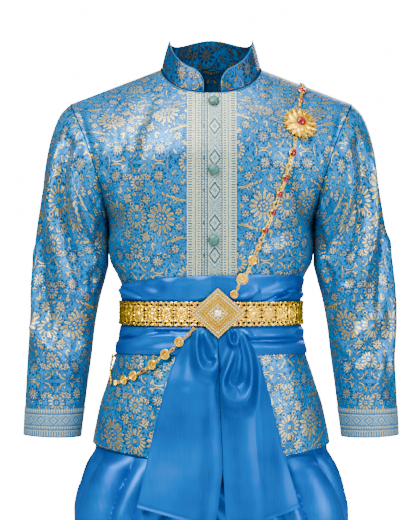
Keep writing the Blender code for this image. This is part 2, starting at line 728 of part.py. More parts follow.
def make_sash_wrap():
    """The sash wound round the waist, laid on the jacket, pressed in where the belt goes."""
    angle = np.arange(0, 360, 7.5)
    lower, upper = sash_edges(angle)
    pressed = BELT_HALF_HEIGHT + 2
    below, above = BELT_HEIGHT - pressed, BELT_HEIGHT + pressed
    rows = [lower + (below - lower) * share for share in (0, 0.22, 0.7, 1)]
    rows += [np.full(lower.shape, WAIST_ROW)]
    rows += [above + (upper - above) * share for share in (0, 0.5, 1)]
    z = np.array(np.broadcast_arrays(*rows))
    body = around(angle, z, SASH_GAP)
    edge = np.minimum(z - lower, upper - z)
    thick = SASH_CLOTH * (0.6 + 0.4 * step(edge / 6)) + sash_folds(angle, z) * step(edge / 8)
    outer = around(angle, z, SASH_GAP + thick)
    add_wall("sash_wrap", "satin", outer, body, closed=True)


def tail_y(x, z, out=0.0):
    """y of the surface that the sash tails hang on: the sash, the jacket's skirt and the wrap below it."""
    half_width = curve(z, TAIL_FORM["height"], TAIL_FORM["half_width"]) + out
    depth = curve(z, TAIL_FORM["height"], TAIL_FORM["front"]) + out
    return SEAM_Y - depth * (1 - np.clip(np.abs(x) / half_width, 0, 1) ** SQUARE) ** (1 / SQUARE)


def make_tail(name, edge_x, edge_z, waves):
    """One hanging tail, from the split in the middle (the first column) to its outer edge."""
    share = np.array([0, 0.06, 0.12, 0.18, 0.25, 0.35, 0.5, 0.65, 0.8, 0.9, 1])[:, None]
    u = np.linspace(0, 1, 10)
    sign = np.sign(TAIL[edge_x][-1])
    inner_x = curve(share, TAIL["share"], TAIL["split_x"]) + sign * (0.5 + 5 * step((share - 0.75) / 0.25))
    inner_z = curve(share, TAIL["share"], TAIL["split_z"])
    outer_x = curve(share, TAIL["share"], TAIL[edge_x])
    outer_z = curve(share, TAIL["share"], TAIL[edge_z])
    x = inner_x + (outer_x - inner_x) * u
    z = inner_z + (outer_z - inner_z) * u - 9 * share * np.sin(np.pi * u)
    fold = np.zeros(x.shape)
    for row in zip(*TAIL_FOLDS.values()):
        fold += ridge_fold(x, z, row[0:2], row[2:4], row[4], row[5])
    under_buckle = step((-412 - z) / 14)
    wave = 3.5 * (1 - np.cos(2 * np.pi * waves * u)) * step((share - 0.15) / 0.4)
    inner = np.stack([x, tail_y(x, z, wave), z], axis=-1)
    outer = np.stack([x, tail_y(x, z, wave + SATIN + fold.clip(0, 7) * under_buckle), z], axis=-1)
    add_wall(name, "satin", outer, inner)


# Belt and buckle


def make_belt():
    """A strap of linked plaques round the sash: each plaque stands out, with a narrow link between two of them."""
    fine = np.linspace(0, 360, 1441)
    track = around(fine, BELT_HEIGHT, BELT_LIFT)
    length = np.concatenate([[0], np.cumsum(np.linalg.norm(np.diff(track, axis=0), axis=1))])
    start = np.interp(BUCKLE_X + 34, track[:360, 0], length[:360])
    end = length[-1] - np.interp(34 - BUCKLE_X, track[:360, 0], length[:360])
    pitch = (end - start) / BELT_PLAQUES
    places, tall, thick = [start], [0.8], [1.6]
    for k in range(BELT_PLAQUES):
        places += [start + (k + 0.22) * pitch, start + (k + 0.78) * pitch, start + (k + 1) * pitch]
        tall += [1.0, 1.0, 0.8]
        thick += [2.8, 2.8, 1.6]
    angle = np.interp(places, length, fine)
    across = np.array([-1, 0, 1])[:, None] * BELT_HALF_HEIGHT
    z = BELT_HEIGHT + across * np.array(tall)
    rim = np.where(np.abs(across) == BELT_HALF_HEIGHT, 0.55, 1.0)
    inner = around(angle, z, BELT_LIFT)
    outer = around(angle, z, BELT_LIFT + np.array(thick) * rim)
    add_wall("belt", "gilt", outer, inner)


BUCKLE_STEPS = table(
    "reach height",
    (0.5, 0.0),
    (1.0, 0.0),
    (1.0, 2.6),
    (0.9, 3.6),
    (0.84, 2.8),
    (0.72, 4.4),
    (0.55, 5.0),
    (0.36, 6.6),
    (0.2, 7.0),
)
BUCKLE_LIFT = BELT_LIFT + 3.4


def on_front(x, z, out):
    return np.stack(np.broadcast_arrays(x, form_y(x, z, -1) - out, z), axis=-1)


def diamond(reach, count=16):
    """Points round a rhombus with its corners on the axes."""
    turn = 2 * np.pi * np.arange(count) / count
    c, s = np.cos(turn), np.sin(turn)
    size = reach / (np.abs(c) + np.abs(s))
    return size * c, size * s


def make_buckle():
    """A stepped rhombus, bent to the waist, and the stone in its middle."""
    rings = []
    for reach, height in zip(BUCKLE_STEPS["reach"], BUCKLE_STEPS["height"]):
        x, z = diamond(reach * BUCKLE_HALF)
        rings.append(on_front(BUCKLE_X + x, BELT_HEIGHT + 1.5 + z, BUCKLE_LIFT + height))
    add_tube("buckle", "gilt", np.array(rings))
    rings = []
    for radius, height in ((2.5, 7.4), (4.6, 7.6), (4.8, 9.0), (2.8, 10.8)):
        turn = 2 * np.pi * np.arange(10) / 10
        x, z = BUCKLE_X + radius * np.cos(turn), BELT_HEIGHT + 1.5 + radius * np.sin(turn)
        rings.append(on_front(x, z, BUCKLE_LIFT + height))
    add_tube("buckle_stone", "clear_stone", np.array(rings))


# Chain and brooch


def chain_rings(places, outward, half_widths, half_lengths, heights, fine):
    """Six-sided rings along the pieces of a chain: wide on each piece and narrow on the link after it."""
    rings = []
    ahead = unit(np.gradient(places, axis=0))
    for here, way, out, half_width, half_length, height in zip(
        places, ahead, outward, half_widths, half_lengths, heights
    ):
        across = unit(np.cross(way, out))
        stations = ((-0.5, 1.0), (0.5, 1.0), (1.0, 0.0)) if fine else ((0.0, 1.0), (1.0, 0.0))
        for at, wide in stations:
            w = half_width if wide else 1.3
            h = height if wide else 1.6
            spot = here + way * half_length * at
            corners = ((1, 0.3), (0.6, 0), (-0.6, 0), (-1, 0.3), (-0.55, 1), (0.55, 1))
            rings.append([spot + across * w * a + out * h * b for a, b in corners])
    return np.array(rings)


def front_outward(x, z):
    reach = 5.0
    across = np.stack([2 * reach + 0 * x, form_y(x + reach, z, -1) - form_y(x - reach, z, -1), 0 * x], -1)
    up = np.stack([0 * x, form_y(x, z + reach, -1) - form_y(x, z - reach, -1), 2 * reach + 0 * x], -1)
    return unit(np.cross(across, up))


def chain_lift(z):
    """How far the chain lies above the jacket: clear of the sash's ridges where it crosses them."""
    on_sash = step((-300 - z) / 9) * step((z + 452) / 9)
    return 1.0 + on_sash * (SASH_GAP + SASH_CLOTH + 1.6)


def make_chain():
    """The shoulder chain in three stretches: brooch to buckle, belt to hip, and hip to shoulder over the back."""
    x, z = FRONT_CHAIN["x"], FRONT_CHAIN["z"]
    places = np.stack([x, form_y(x, z, -1, chain_lift(z)), z], -1)
    sizes = FRONT_CHAIN["half_width"], FRONT_CHAIN["half_length"], FRONT_CHAIN["height"]
    add_tube("chain_front", "gilt", chain_rings(places, front_outward(x, z), *sizes, True))

    angle, z = LOWER_CHAIN["angle"], LOWER_CHAIN["z"]
    places = around(angle, z, chain_lift(z) + LOWER_CHAIN["lift"])
    outward = unit(around(angle, z, 10) - around(angle, z, 0))
    sizes = LOWER_CHAIN["half_width"], LOWER_CHAIN["half_length"], LOWER_CHAIN["height"]
    add_tube("chain_lower", "gilt", chain_rings(places, outward, *sizes, True))

    places, outward = back_track(np.linspace(0, 1, BACK_CHAIN_PIECES))
    sizes = np.full(BACK_CHAIN_PIECES, 4.6), np.full(BACK_CHAIN_PIECES, 8.8), np.full(BACK_CHAIN_PIECES, 2.8)
    add_tube("chain_back", "gilt", chain_rings(places, outward, *sizes, False))


def back_track(share):
    """The chain's way from the hip up the back and over the left shoulder to the brooch, and its outward ways."""
    hip_angle, hip_z = BACK_CHAIN_HIP
    fine = np.linspace(0, 1, 60)
    angle = hip_angle + (BACK_CHAIN_LAST - hip_angle) * fine
    low_z = hip_z + BACK_CHAIN_CLIMB * fine**0.6
    low = around(angle, low_z, chain_lift(low_z) + 0.4)
    back_top, front_top = (float(ridge_height(CHAIN_SHOULDER, side)) for side in (1, -1))
    x = low[-1, 0] + (CHAIN_SHOULDER - low[-1, 0]) * fine
    z = low[-1, 2] + (back_top - 14 - low[-1, 2]) * fine
    over_belt = 3.6 * step((BELT_HALF_HEIGHT + 12 - np.abs(z - BELT_HEIGHT)) / 8)
    back = np.stack([x, form_y(x, z, 1, chain_lift(z) + 0.4 + over_belt), z], -1)
    front_x, front_z = BROOCH[0] + 1, BROOCH[1] + 30
    drop = np.linspace(0, 1, 12)
    down_z = front_top - 3 + (front_z - front_top + 3) * drop
    down_x = CHAIN_SHOULDER + (front_x - CHAIN_SHOULDER) * drop
    down = np.stack([down_x, form_y(down_x, down_z, -1, 1.6), down_z], -1)
    top = np.array([[CHAIN_SHOULDER, SEAM_Y, back_top + 3.4]])
    line = np.concatenate([low, back[1:], top, down])
    length = np.concatenate([[0], np.cumsum(np.linalg.norm(np.diff(line, axis=0), axis=1))])
    at = share * length[-1]
    places = np.stack([np.interp(at, length, line[:, k]) for k in range(3)], -1)
    outward = unit((places - np.array([0, SEAM_Y, 0])) * np.array([1, 1, 0]))
    on_top = step((places[:, 2] + 90) / 70)[:, None]
    outward = unit(outward * (1 - 0.8 * on_top) + np.array([0.36, 0, 0.93]) * on_top)
    return places, outward


def make_brooch():
    """A sunburst of sixteen points with a domed middle, and the red stone set in it."""
    x, z, radius = BROOCH
    turn = 2 * np.pi * np.arange(32) / 32
    star = np.where(np.arange(32) % 2 == 0, 1.0, 0.8)
    rings = []
    for reach, height, pointed in ((0.5, 0, 0), (0.97, 0.8, 1), (1.0, 1.6, 1), (0.62, 4.2, 0.3), (0.3, 5.2, 0)):
        size = radius * reach * (1 - pointed * (1 - star))
        rings.append(np.stack([size * np.cos(turn), size * np.sin(turn), np.full(32, height)], -1))
    place_on_front(add_tube("brooch", "gilt", np.array(rings)), x, z, CLEAR + 0.2)
    profile = [(0, 5.7), (4.5, 5.7), (7.0, 6.3), (6.4, 8.2), (3.5, 9.8), (0, 10.2)]
    place_on_front(add_turned("brooch_stone", "ruby", profile, 12), x, z, CLEAR + 0.2)


# Wrapped lower garment


def wrap_sizes(z):
    """Half width, front and back depth of the wrap: the jacket's form a little smaller, then its own below."""
    inside = z > WRAP["height"][-1]
    sizes = []
    for column, less in WRAP_INSIDE.items():
        above = curve(z, BODY["height"], BODY[column]) - less
        sizes.append(np.where(inside, above, curve(z, WRAP["height"], WRAP[column])))
    return sizes


def leg_rows(z):
    """Middle, half width and inner edge of one leg, and how far its ring is closed (0 open, 1 at the crotch)."""
    closing = np.clip((CROTCH_TOP - z) / (CROTCH_TOP - CROTCH_HEIGHT), 0, 1)
    edge = 0.3 + (LEG_GAP - 0.3) * step((closing - 0.25) / 0.55) + LEG_SPREAD * step((CROTCH_HEIGHT - z) / 240)
    reach = wrap_sizes(z)[0]
    half = (reach - edge) / (1 + closing)
    return reach - half, half, edge, closing


def wrap_folds(angle, z):
    """Height of the draped folds, which start under the jacket's hem."""
    low = np.clip((-590 - z) / 110, 0, 1.6)
    total = np.zeros(np.broadcast(angle, z).shape)
    for top, down, half_width, height in zip(*WRAP_FOLDS.values()):
        away = (angle - (top + (down - top) * np.minimum(low, 1))) / half_width
        total += height * np.exp(-(away**2))
    return (total - 1.5) * step((-588 - z) / 60)


def make_wrap():
    """The two halves of the wrapped lower garment, each a leg that opens out above the crotch."""
    z = np.array(WRAP_HEIGHTS, float)[:, None]
    middle, half, edge, closing = leg_rows(z)
    _, front, back = wrap_sizes(z)
    open_turn = np.arccos(np.clip(power((middle - edge) / half, SQUARE / 2), -1, 1))
    turn = open_turn + (2 * np.pi - 2 * open_turn) * np.linspace(0, 1, 25)
    x = middle - half * power(np.cos(turn), 2 / SQUARE)
    y = SEAM_Y - np.where(np.sin(turn) > 0, front, back) * power(np.sin(turn), 2 / SQUARE)
    outer = np.stack(np.broadcast_arrays(x, y, z), axis=-1)
    outer[:, 0, 1] = np.minimum(outer[:, 0, 1], SEAM_Y - SEAM)
    outer[:, -1, 1] = np.maximum(outer[:, -1, 1], SEAM_Y + SEAM)
    normal = -normals(outer)
    normal[closing[:, 0] >= 1, 0] = normal[closing[:, 0] >= 1, -1] = (-1, 0, 0)
    normal[closing[:, 0] <= 0.1, 0, 0] = 0
    normal[closing[:, 0] <= 0.1, -1, 0] = 0
    normal = unit(normal)
    outer += normal * wrap_folds(np.degrees(turn), z)[..., None]
    outer[..., 0] = np.maximum(outer[..., 0], edge)
    inner = outer - SATIN * normal
    add_wall("wrap_left", "satin", outer, inner)
    add_wall("wrap_right", "satin", mirror(outer), mirror(inner))


# The rolled end: turn along its way from the back waist (0) under the crotch (90) to the front (180)
ROLL = table(
    "turn half_width lift thickness",
    (-13, 32, 0.6, 1.6),
    (0, 34, 0.5, 1.6),
    (11, 33, 0.6, 2.6),
    (22, 26, 0.8, 4.0),
    (34, 18, 1.0, 6.0),
    (46, 12, 1.0, 8.0),
    (58, 7.4, -1.0, 11.0),
    (72, 7.0, -3.0, 13.0),
    (90, 7.0, -3.0, 13.0),
    (108, 7.0, -3.0, 13.0),
    (122, 7.4, -1.0, 11.0),
    (134, 11, 1.0, 7.0),
)


def wrap_surface_y(x, z, side):
    """y of the wrap's surface near the middle at a height above the crotch."""
    middle, half, edge, _ = leg_rows(z)
    depth = wrap_sizes(z)[1 if side < 0 else 2]
    along = np.clip((middle - np.maximum(np.abs(x), edge)) / half, -1, 1)
    turn = np.arccos(power(along, SQUARE / 2))
    return SEAM_Y + side * depth * np.abs(np.sin(turn)) ** (2 / SQUARE)


def make_roll():
    """The rolled end of the wrap: a pleated band from the back waist, rolled up where it goes between the legs."""
    u = np.linspace(-1, 1, 9)
    outer, inner = [], []
    for turn, half_width, lift, thickness in zip(*ROLL.values()):
        side = 1 if turn <= 90 else -1
        depth_at = CROTCH_TOP + (CROTCH_HEIGHT - CROTCH_TOP) * np.sin(np.radians(np.clip(turn, 0, 180)))
        z = np.full(u.shape, depth_at + (0 if turn > 0 else -turn * 4.5))
        x = half_width * u
        y = wrap_surface_y(x, z, side)
        slope = np.radians(np.clip(turn, 0, 180))
        out = np.array([0, np.cos(slope), -np.sin(slope)])
        base = np.stack([x, y, z], -1)
        pleat = 1 - 0.3 * (np.arange(len(u)) % 2)
        inner.append(base + out * lift)
        outer.append(base + out * (lift + thickness * pleat[:, None]))
    add_wall("wrap_roll", "satin", np.array(outer), np.array(inner))


def main():
    for old in list(bpy.data.objects):
        bpy.data.objects.remove(old)
    front_edge, back_edge = make_jacket()
    make_sleeves(front_edge, back_edge)
    make_collar()
    make_buttons()
    make_sash_wrap()
    make_tail("sash_tail_left", "right_outer_x", "right_outer_z", 2)
    make_tail("sash_tail_right", "left_outer_x", "left_outer_z", 2)
    make_belt()
    make_buckle()
    make_chain()
    make_brooch()
    make_wrap()
    make_roll()


main()
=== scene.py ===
"""A Thai men's costume set as it is worn: a brocade jacket, a satin sash, a belt of gilt plaques with a
rhombus buckle, a shoulder chain with a brooch, and a wrapped satin lower garment (chong kraben).

Sizes are in millimetres and become metres in the meshes. +x is the wearer's left, -y the front, +z up.
"""

import bpy
import numpy as np
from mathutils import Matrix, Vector


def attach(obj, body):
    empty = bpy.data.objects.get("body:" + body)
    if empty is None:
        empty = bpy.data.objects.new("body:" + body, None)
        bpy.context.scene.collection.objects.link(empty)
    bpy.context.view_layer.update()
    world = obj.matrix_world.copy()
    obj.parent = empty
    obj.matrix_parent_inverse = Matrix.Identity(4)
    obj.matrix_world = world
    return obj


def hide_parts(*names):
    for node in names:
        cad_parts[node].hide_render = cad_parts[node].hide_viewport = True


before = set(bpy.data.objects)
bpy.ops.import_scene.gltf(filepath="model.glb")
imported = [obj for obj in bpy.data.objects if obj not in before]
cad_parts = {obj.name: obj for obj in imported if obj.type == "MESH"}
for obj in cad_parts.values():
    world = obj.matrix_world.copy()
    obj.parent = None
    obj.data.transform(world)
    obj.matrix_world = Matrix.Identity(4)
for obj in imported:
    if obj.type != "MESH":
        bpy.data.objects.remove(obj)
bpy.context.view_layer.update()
MM = 0.001

# The garment's form

SEAM_Y = 5.0  # side and shoulder seams lie in this plane
SQUARE = 2.2  # exponent of the body's rounded section
UNDERARM, HEM = -226.0, -584.0  # heights
HEM_DIP = 25.0  # how far the hem hangs lower in the middle
NECK_WIDTH, NECK_Y, NECK_SQUARE = 79.0, 8.0, 2.5  # the neckline's half width, y of its middle and exponent
NECK_DEPTH = {-1: 76.0, 1: 60.0}  # to the front and the back
# Height of the shoulder line where it meets the neckline, and how far it would rise from there to the middle
NECK_TOP, NECK_RISE = 18.0, {-1: 8.0, 1: 38.0}
SHOULDER_SLOPE = 0.385  # how far it falls for each millimetre outward
SHOULDER_ROUND = 1.5  # exponent of the curve by which the section closes in under it
SHOULDER_DROP = {-1: 150.0, 1: 120.0}  # and over what height, in front and behind
OVERLAP_EDGE, UNDERLAP_EDGE = -10.7, -14.0  # x of the edges of the left front and, mirrored, the right one
BORDER = (39.0, 37.3)  # outer edges of the woven borders, left and right
UNDERLAP = 2.8  # how far the right front steps back under the left
BELT_Z, BELT_HALF = -371.5, 17.5  # height and half width
BUCKLE = (10.3, -370.0, 39.5)  # x, z and half its diagonal
BROOCH = (138.0, -75.0, 27.5)  # x, z and radius
BUTTONS, BUTTON_X = (-41.0, -149.0, -257.5), 3.8
WALL, SATIN_WALL = 1.6, 1.2  # the brocade with its lining, and the satin as it lies


def table(names, *rows):
    """The named columns of the rows, each as an array."""
    return dict(zip(names.split(), np.array(rows, float).T))


BODY = table(
    "height half_width front back",
    (-620, 195, 136, 142),
    (-584, 190, 133, 139),
    (-555, 185.5, 130.5, 136.5),
    (-515, 177, 126, 132),
    (-491, 169, 122.5, 128.5),
    (-460, 159, 117, 122),
    (-438, 151.5, 113, 116.5),
    (-410, 144, 110, 111),
    (-372, 140, 107.5, 108),
    (-335, 142, 109, 109),
    (-312, 149, 113, 111.5),
    (-288, 160, 118, 114),
    (-255, 164, 121, 117),
    (-226, 166, 122.5, 120),
    (-180, 188, 123, 123),
    (-140, 235, 123, 125),
    (-95, 270, 122, 124),
    (-39, 300, 120, 121),
)
ARMHOLE = table(
    "share x height",
    (0, 166, -226),
    (0.25, 171, -186),
    (0.5, 183, -140),
    (0.75, 202, -88),
    (1, 225, -38.2),
)
SLEEVE = table(
    "outer_x outer_z inner_x inner_z half_depth middle",
    (225, -38.2, 166.5, -226, 72, 5),
    (240.5, -54, 167.4, -232.5, 71, 5),
    (252.5, -80, 167.6, -239.5, 70, 5),
    (261, -112, 167.2, -248, 69, 4),
    (267.5, -150, 166.4, -259, 68, 4),
    (274, -200, 165.2, -273.5, 67, 4),
    (281, -252, 163.4, -291, 66, 3),
    (285, -302, 169.5, -319, 65, 2),
    (288, -348, 178, -351, 63.5, 1),
    (290.5, -396, 185.5, -394, 61.5, -1),
    (293, -440, 190.5, -438, 59, -3),
    (295, -480, 196, -479, 56, -6),
    (296.5, -516, 200.5, -516, 53, -9),
    (297.6, -542, 204.5, -543, 50.5, -11),
    (298.5, -565, 207.4, -568, 48.5, -12),
)
WRAP = table(
    "height half_width front back",
    (-975, 170, 84, 88),
    (-930, 180, 97, 101),
    (-870, 194, 118, 121),
    (-820, 203, 132, 134),
    (-775, 209, 143, 144),
    (-735, 213, 150, 151),
    (-705, 214.5, 152, 154),
    (-685, 214.5, 152, 154),
    (-660, 211, 149, 151),
    (-635, 203.5, 144, 147),
    (-610, 193.5, 135, 137),
    (-590, 186.0, 127.5, 129.5),
)
TAIL = table(
    "share left_outer_x left_outer_z right_outer_x right_outer_z split_x split_z",
    (0.0, -26, -394, 45, -394, 10.0, -396),
    (0.14, -54, -436, 71, -434, 11.0, -436),
    (0.28, -68, -475, 84, -474, 12.5, -478),
    (0.5, -84, -535, 99, -535, 14.5, -536),
    (0.72, -98, -592, 113, -590, 17.5, -598),
    (0.88, -107, -637, 125.5, -632, 17.5, -646),
    (1.0, -113, -663, 135.5, -665, 16.0, -686),
)
TAIL_FORM = table(
    "height half_width front",
    (-705, 250, 179.5),
    (-660, 247, 167.5),
    (-625, 230, 158),
    (-592, 212, 149.3),
    (-550, 196, 139.5),
    (-500, 182, 130),
    (-438, 161, 120),
    (-394, 148, 113.5),
)
FOLD = "start_x start_z end_x end_z half_width height lean"
# Creases of the jacket's fronts, seen from the front, on the wearer's left (x is mirrored for the right)
LEFT_CREASES = table(
    FOLD,
    (206, -66, 177, -200, 6, -7.6, 0.0),
    (150, -92, 120, -196, 17, -5.8, 0.0),
    (140, -166, 148, -244, 17, -6.0, 0.0),
    (162, -118, 182, -158, 8, 4.3, 0.0),
    (118, -170, 150, -240, 14, 4.3, 0.0),
    (140, -200, 166, -250, 9, -4.3, 0.0),
    (60, -262, 160, -232, 12, -2.9, 0.0),
    (40, -290, 140, -268, 9, 2.9, 0.0),
    (95, -470, 176, -520, 14, -3.6, 0.0),
    (120, -452, 160, -560, 14, 2.9, 0.0),
)
RIGHT_CREASES = table(
    FOLD,
    (206, -66, 177, -200, 6, -7.6, 0.0),
    (104, -50, 134, -140, 13, -7.2, 0.0),
    (122, -76, 108, -100, 12, 3.6, 0.0),
    (134, -132, 112, -206, 14, -6.5, 0.0),
    (158, -190, 116, -142, 10, 4.3, 0.0),
    (142, -205, 162, -246, 10, -5.1, 0.0),
    (88, -230, 60, -285, 14, -2.9, 0.0),
    (70, -286, 140, -262, 9, 2.9, 0.0),
    (100, -462, 178, -500, 14, -3.6, 0.0),
    (130, -450, 160, -560, 14, 3.2, 0.0),
)
BACK_CREASES = table(
    FOLD,
    (200, -70, 175, -205, 10, -4.5, 0.3),
    (150, -110, 40, -230, 18, -3.0, 0.0),
    (140, -150, 60, -262, 13, 3.0, 0.0),
    (60, -290, 130, -300, 10, 2.5, 0.0),
    (-200, -70, -175, -205, 10, -4.5, -0.3),
    (-145, -100, -50, -220, 18, -3.2, 0.0),
    (-150, -160, -50, -255, 13, 2.8, 0.0),
    (-40, -296, -135, -285, 10, 2.5, 0.0),
    (-20, -470, 30, -580, 22, -3.0, 0.0),
    (90, -450, 120, -580, 20, 3.0, 0.0),
    (-100, -450, -130, -580, 20, 3.0, 0.0),
)
# Creases of the sleeves: millimetres round from the outer side toward the front, and down from the shoulder
LEFT_SLEEVE = table(
    FOLD,
    (58, 14, 148, 150, 9.0, 13.6, 0.3),
    (40, 30, 120, 190, 8.0, -11.5, 0.0),
    (30, 60, 104, 230, 9.0, 11.5, 0.2),
    (8, 80, 70, 260, 10.0, -9.2, 0.0),
    (10, 150, 40, 330, 10.0, 10.4, 0.0),
    (168, 60, 150, 190, 9.0, -11.5, 0.0),
    (60, 250, 138, 300, 11.0, 10.4, 0.0),
    (60, 285, 140, 330, 10.0, -10.4, 0.0),
    (70, 330, 120, 420, 12.0, 9.2, 0.0),
    (40, 350, 60, 470, 12.0, -8.0, 0.0),
    (-60, 20, -140, 160, 10.0, 11.5, 0.0),
    (-40, 70, -110, 240, 10.0, -10.4, 0.0),
    (-60, 260, -140, 310, 12.0, 10.4, 0.0),
    (-50, 300, -120, 360, 11.0, -9.2, 0.0),
    (-90, 360, -60, 480, 13.0, 8.0, 0.0),
)
RIGHT_SLEEVE = table(
    FOLD,
    (62, 8, 150, 160, 8.0, 15.0, 0.3),
    (46, 20, 130, 200, 8.0, -12.7, 0.0),
    (34, 40, 104, 220, 10.0, 11.5, 0.2),
    (14, 90, 80, 280, 10.0, -10.4, 0.0),
    (24, 160, 62, 320, 9.0, 9.2, 0.0),
    (160, 50, 152, 190, 9.0, -11.5, 0.0),
    (70, 236, 140, 290, 12.0, -9.2, 0.0),
    (50, 270, 130, 340, 11.0, 11.5, 0.0),
    (84, 340, 110, 440, 12.0, -8.0, 0.0),
    (40, 340, 70, 480, 12.0, 8.0, 0.0),
    (-66, 24, -146, 150, 10.0, 11.5, 0.0),
    (-36, 60, -100, 230, 10.0, -10.4, 0.0),
    (-50, 250, -130, 320, 12.0, 10.4, 0.0),
    (-60, 300, -130, 350, 11.0, -9.2, 0.0),
    (-70, 370, -90, 480, 13.0, 8.0, 0.0),
)
# Folds of the sash seen from the front, and from behind
SASH_FRONT = table(
    FOLD,
    (-144, -334, -98, -353, 5.0, 6.9, 0.5),
    (-140, -322, -116, -331, 8.0, 3.9, 0.0),
    (-118, -330, -80, -346, 9.0, 3.0, 0.0),
    (-70, -322, -56, -344, 11.0, 3.6, 0.0),
    (-38, -324, -28, -350, 8.0, 3.0, 0.0),
    (-50, -330, -44, -352, 5.0, -3.0, 0.0),
    (40, -354, 68, -337, 5.0, 5.4, -0.4),
    (56, -352, 98, -340, 4.0, -3.9, 0.0),
    (68, -353, 130, -327, 6.0, 7.5, -0.4),
    (80, -354, 116, -336, 4.0, -5.1, 0.0),
    (96, -354, 126, -336, 5.0, 6.3, 0.3),
    (116, -352, 144, -340, 5.0, 6.6, 0.3),
    (108, -354, 134, -345, 3.4, -3.9, 0.0),
    (-42, -318, -33, -350, 7, -3.0, 0.0),
    (-16, -322, -18, -350, 8, 3.0, 0.0),
    (-90, -316, -80, -340, 12, -2.6, 0.0),
    (100, -318, 140, -324, 7, -2.6, 0.0),
    (30, -322, 62, -330, 10.0, 2.7, 0.0),
    (-96, -393, -34, -392, 5.0, 4.8, -0.3),
    (-84, -400, -36, -399.5, 3.4, -5.1, 0.0),
    (-150, -421, -62, -401, 6.0, 6.6, 0.5),
    (-146, -408, -100, -400, 7.0, 3.3, 0.0),
    (-152, -413, -110, -409, 3.6, -3.9, 0.0),
    (-110, -428, -60, -424, 8.0, 2.7, 0.0),
    (50, -397, 57, -406, 5.0, 6.6, 0.3),
    (56, -413, 150, -414, 4.0, -5.1, 0.0),
    (58, -406, 124, -405, 7.0, 6.0, -0.4),
    (60, -422, 140, -424, 8.0, 3.6, 0.0),
    (128, -396, 150, -404, 6.0, 3.9, 0.0),
)
SASH_BACK = table(
    FOLD,
    (-130, -338, 40, -332, 8, 2.6, 0.4),
    (-20, -346, 134, -338, 7, 2.2, 0.0),
    (-130, -404, 60, -416, 8, 2.6, -0.4),
    (-40, -426, 132, -410, 7, 2.4, 0.0),
)
# Long soft waves of the hanging tails
LEFT_TAIL = table(
    FOLD,
    (-34, -412, -40, -480, 9, -2.0, 0.0),
    (-50, -500, -72, -700, 24, -1.6, 0.0),
    (-92, -540, -112, -700, 16, 1.4, 0.0),
    (-10, -490, -20, -700, 12, 1.6, 0.0),
)
RIGHT_TAIL = table(
    FOLD,
    (66, -420, 82, -700, 13, -4.2, 0.0),
    (36, -540, 44, -700, 13, 1.8, 0.0),
    (100, -500, 118, -700, 15, 2.4, 0.0),
)
# Draped folds at the tails' tops, each along a path whose left is its inner side, and what their heights are
# multiplied by
LOOP, LOOP_HEIGHT = "x z height outer inner", 1.6
LEFT_LOOPS = (
    table(
        LOOP,
        (-18, -391, 4.0, 6, 4),
        (-21.4, -405, 6.4, 6, 4),
        (-22.6, -419, 7.4, 6.5, 4.4),
        (-21.0, -434, 8.0, 7, 5),
        (-17.0, -447, 8.6, 9, 6),
        (-10.4, -455, 9.0, 12, 7),
        (-2.4, -457, 8.6, 13, 7.5),
        (5.1, -453, 7.4, 10, 6.5),
        (9.4, -441, 5.6, 7, 5),
        (10.6, -427, 2.6, 5, 4),
    ),
    table(
        LOOP,
        (-12, -393, 4.4, 5, 5),
        (-8.4, -404, 5.6, 6, 5),
        (-3.5, -413, 6.4, 7, 5),
        (1.6, -424, 6.0, 8, 5),
        (3.2, -436, 3.4, 7, 5),
    ),
)
RIGHT_LOOPS = (
    table(
        LOOP,
        (27.2, -392, 3.6, 4, 3.4),
        (27.8, -403, 5.0, 4, 3.4),
        (29.4, -412, 5.8, 4.4, 3.4),
        (34.6, -417.6, 6.4, 5, 3.6),
        (39.2, -415, 5.8, 4.4, 3.4),
        (40.6, -405, 5.0, 4, 3.4),
        (37, -391, 3.6, 4, 3.4),
    ),
    table(
        LOOP,
        (37, -420, 2.5, 7, 4.4),
        (35.0, -429, 5.0, 8, 4.6),
        (31.4, -440, 6.0, 8, 4.8),
        (26.4, -452, 6.6, 7, 5),
        (21, -464, 7.2, 6, 5),
        (17.6, -477, 7.8, 6, 6),
        (19.4, -490, 8.6, 9, 12),
        (27, -500, 9.4, 13, 16),
        (39.4, -506, 10.0, 16, 18),
        (51, -503, 10.0, 14, 16),
        (59.0, -492, 9.6, 9, 12),
        (62.4, -477, 9.2, 7, 8),
        (63, -461, 8.6, 7, 7),
        (60.8, -442, 7.6, 7, 6),
        (55.8, -421, 6.6, 7, 5.5),
        (50, -405, 5.4, 6, 5),
        (44, -391, 3.0, 6, 5),
    ),
    table(
        LOOP,
        (43.5, -402, 1.0, 4, 5),
        (43, -420, 4.0, 4.4, 6),
        (43, -439, 5.4, 5, 7),
        (42.6, -454, 5.2, 7, 9),
        (41, -466, 2.6, 9, 10),
        (40, -476, 0.2, 9, 9),
    ),
)
# Pleats of each leg of the wrap: the valleys between them, in degrees round it from the inside, forward, at
# the jacket's hem and 110 mm below, and how full the cloth is after each
PLEATS = table(
    "top low full",
    (40, 30, 5),
    (58, 46, 6),
    (76, 63, 7),
    (92, 80, 8),
    (107, 97, 8),
    (122, 116, 13),
    (147, 164, 8),
    (163, 186, 8),
    (178, 203, 9),
    (195, 219, 8),
    (212, 235, 9),
    (230, 252, 8),
    (248, 270, 9),
    (268, 290, 7),
    (290, 312, 6),
    (314, 332, 0),
)


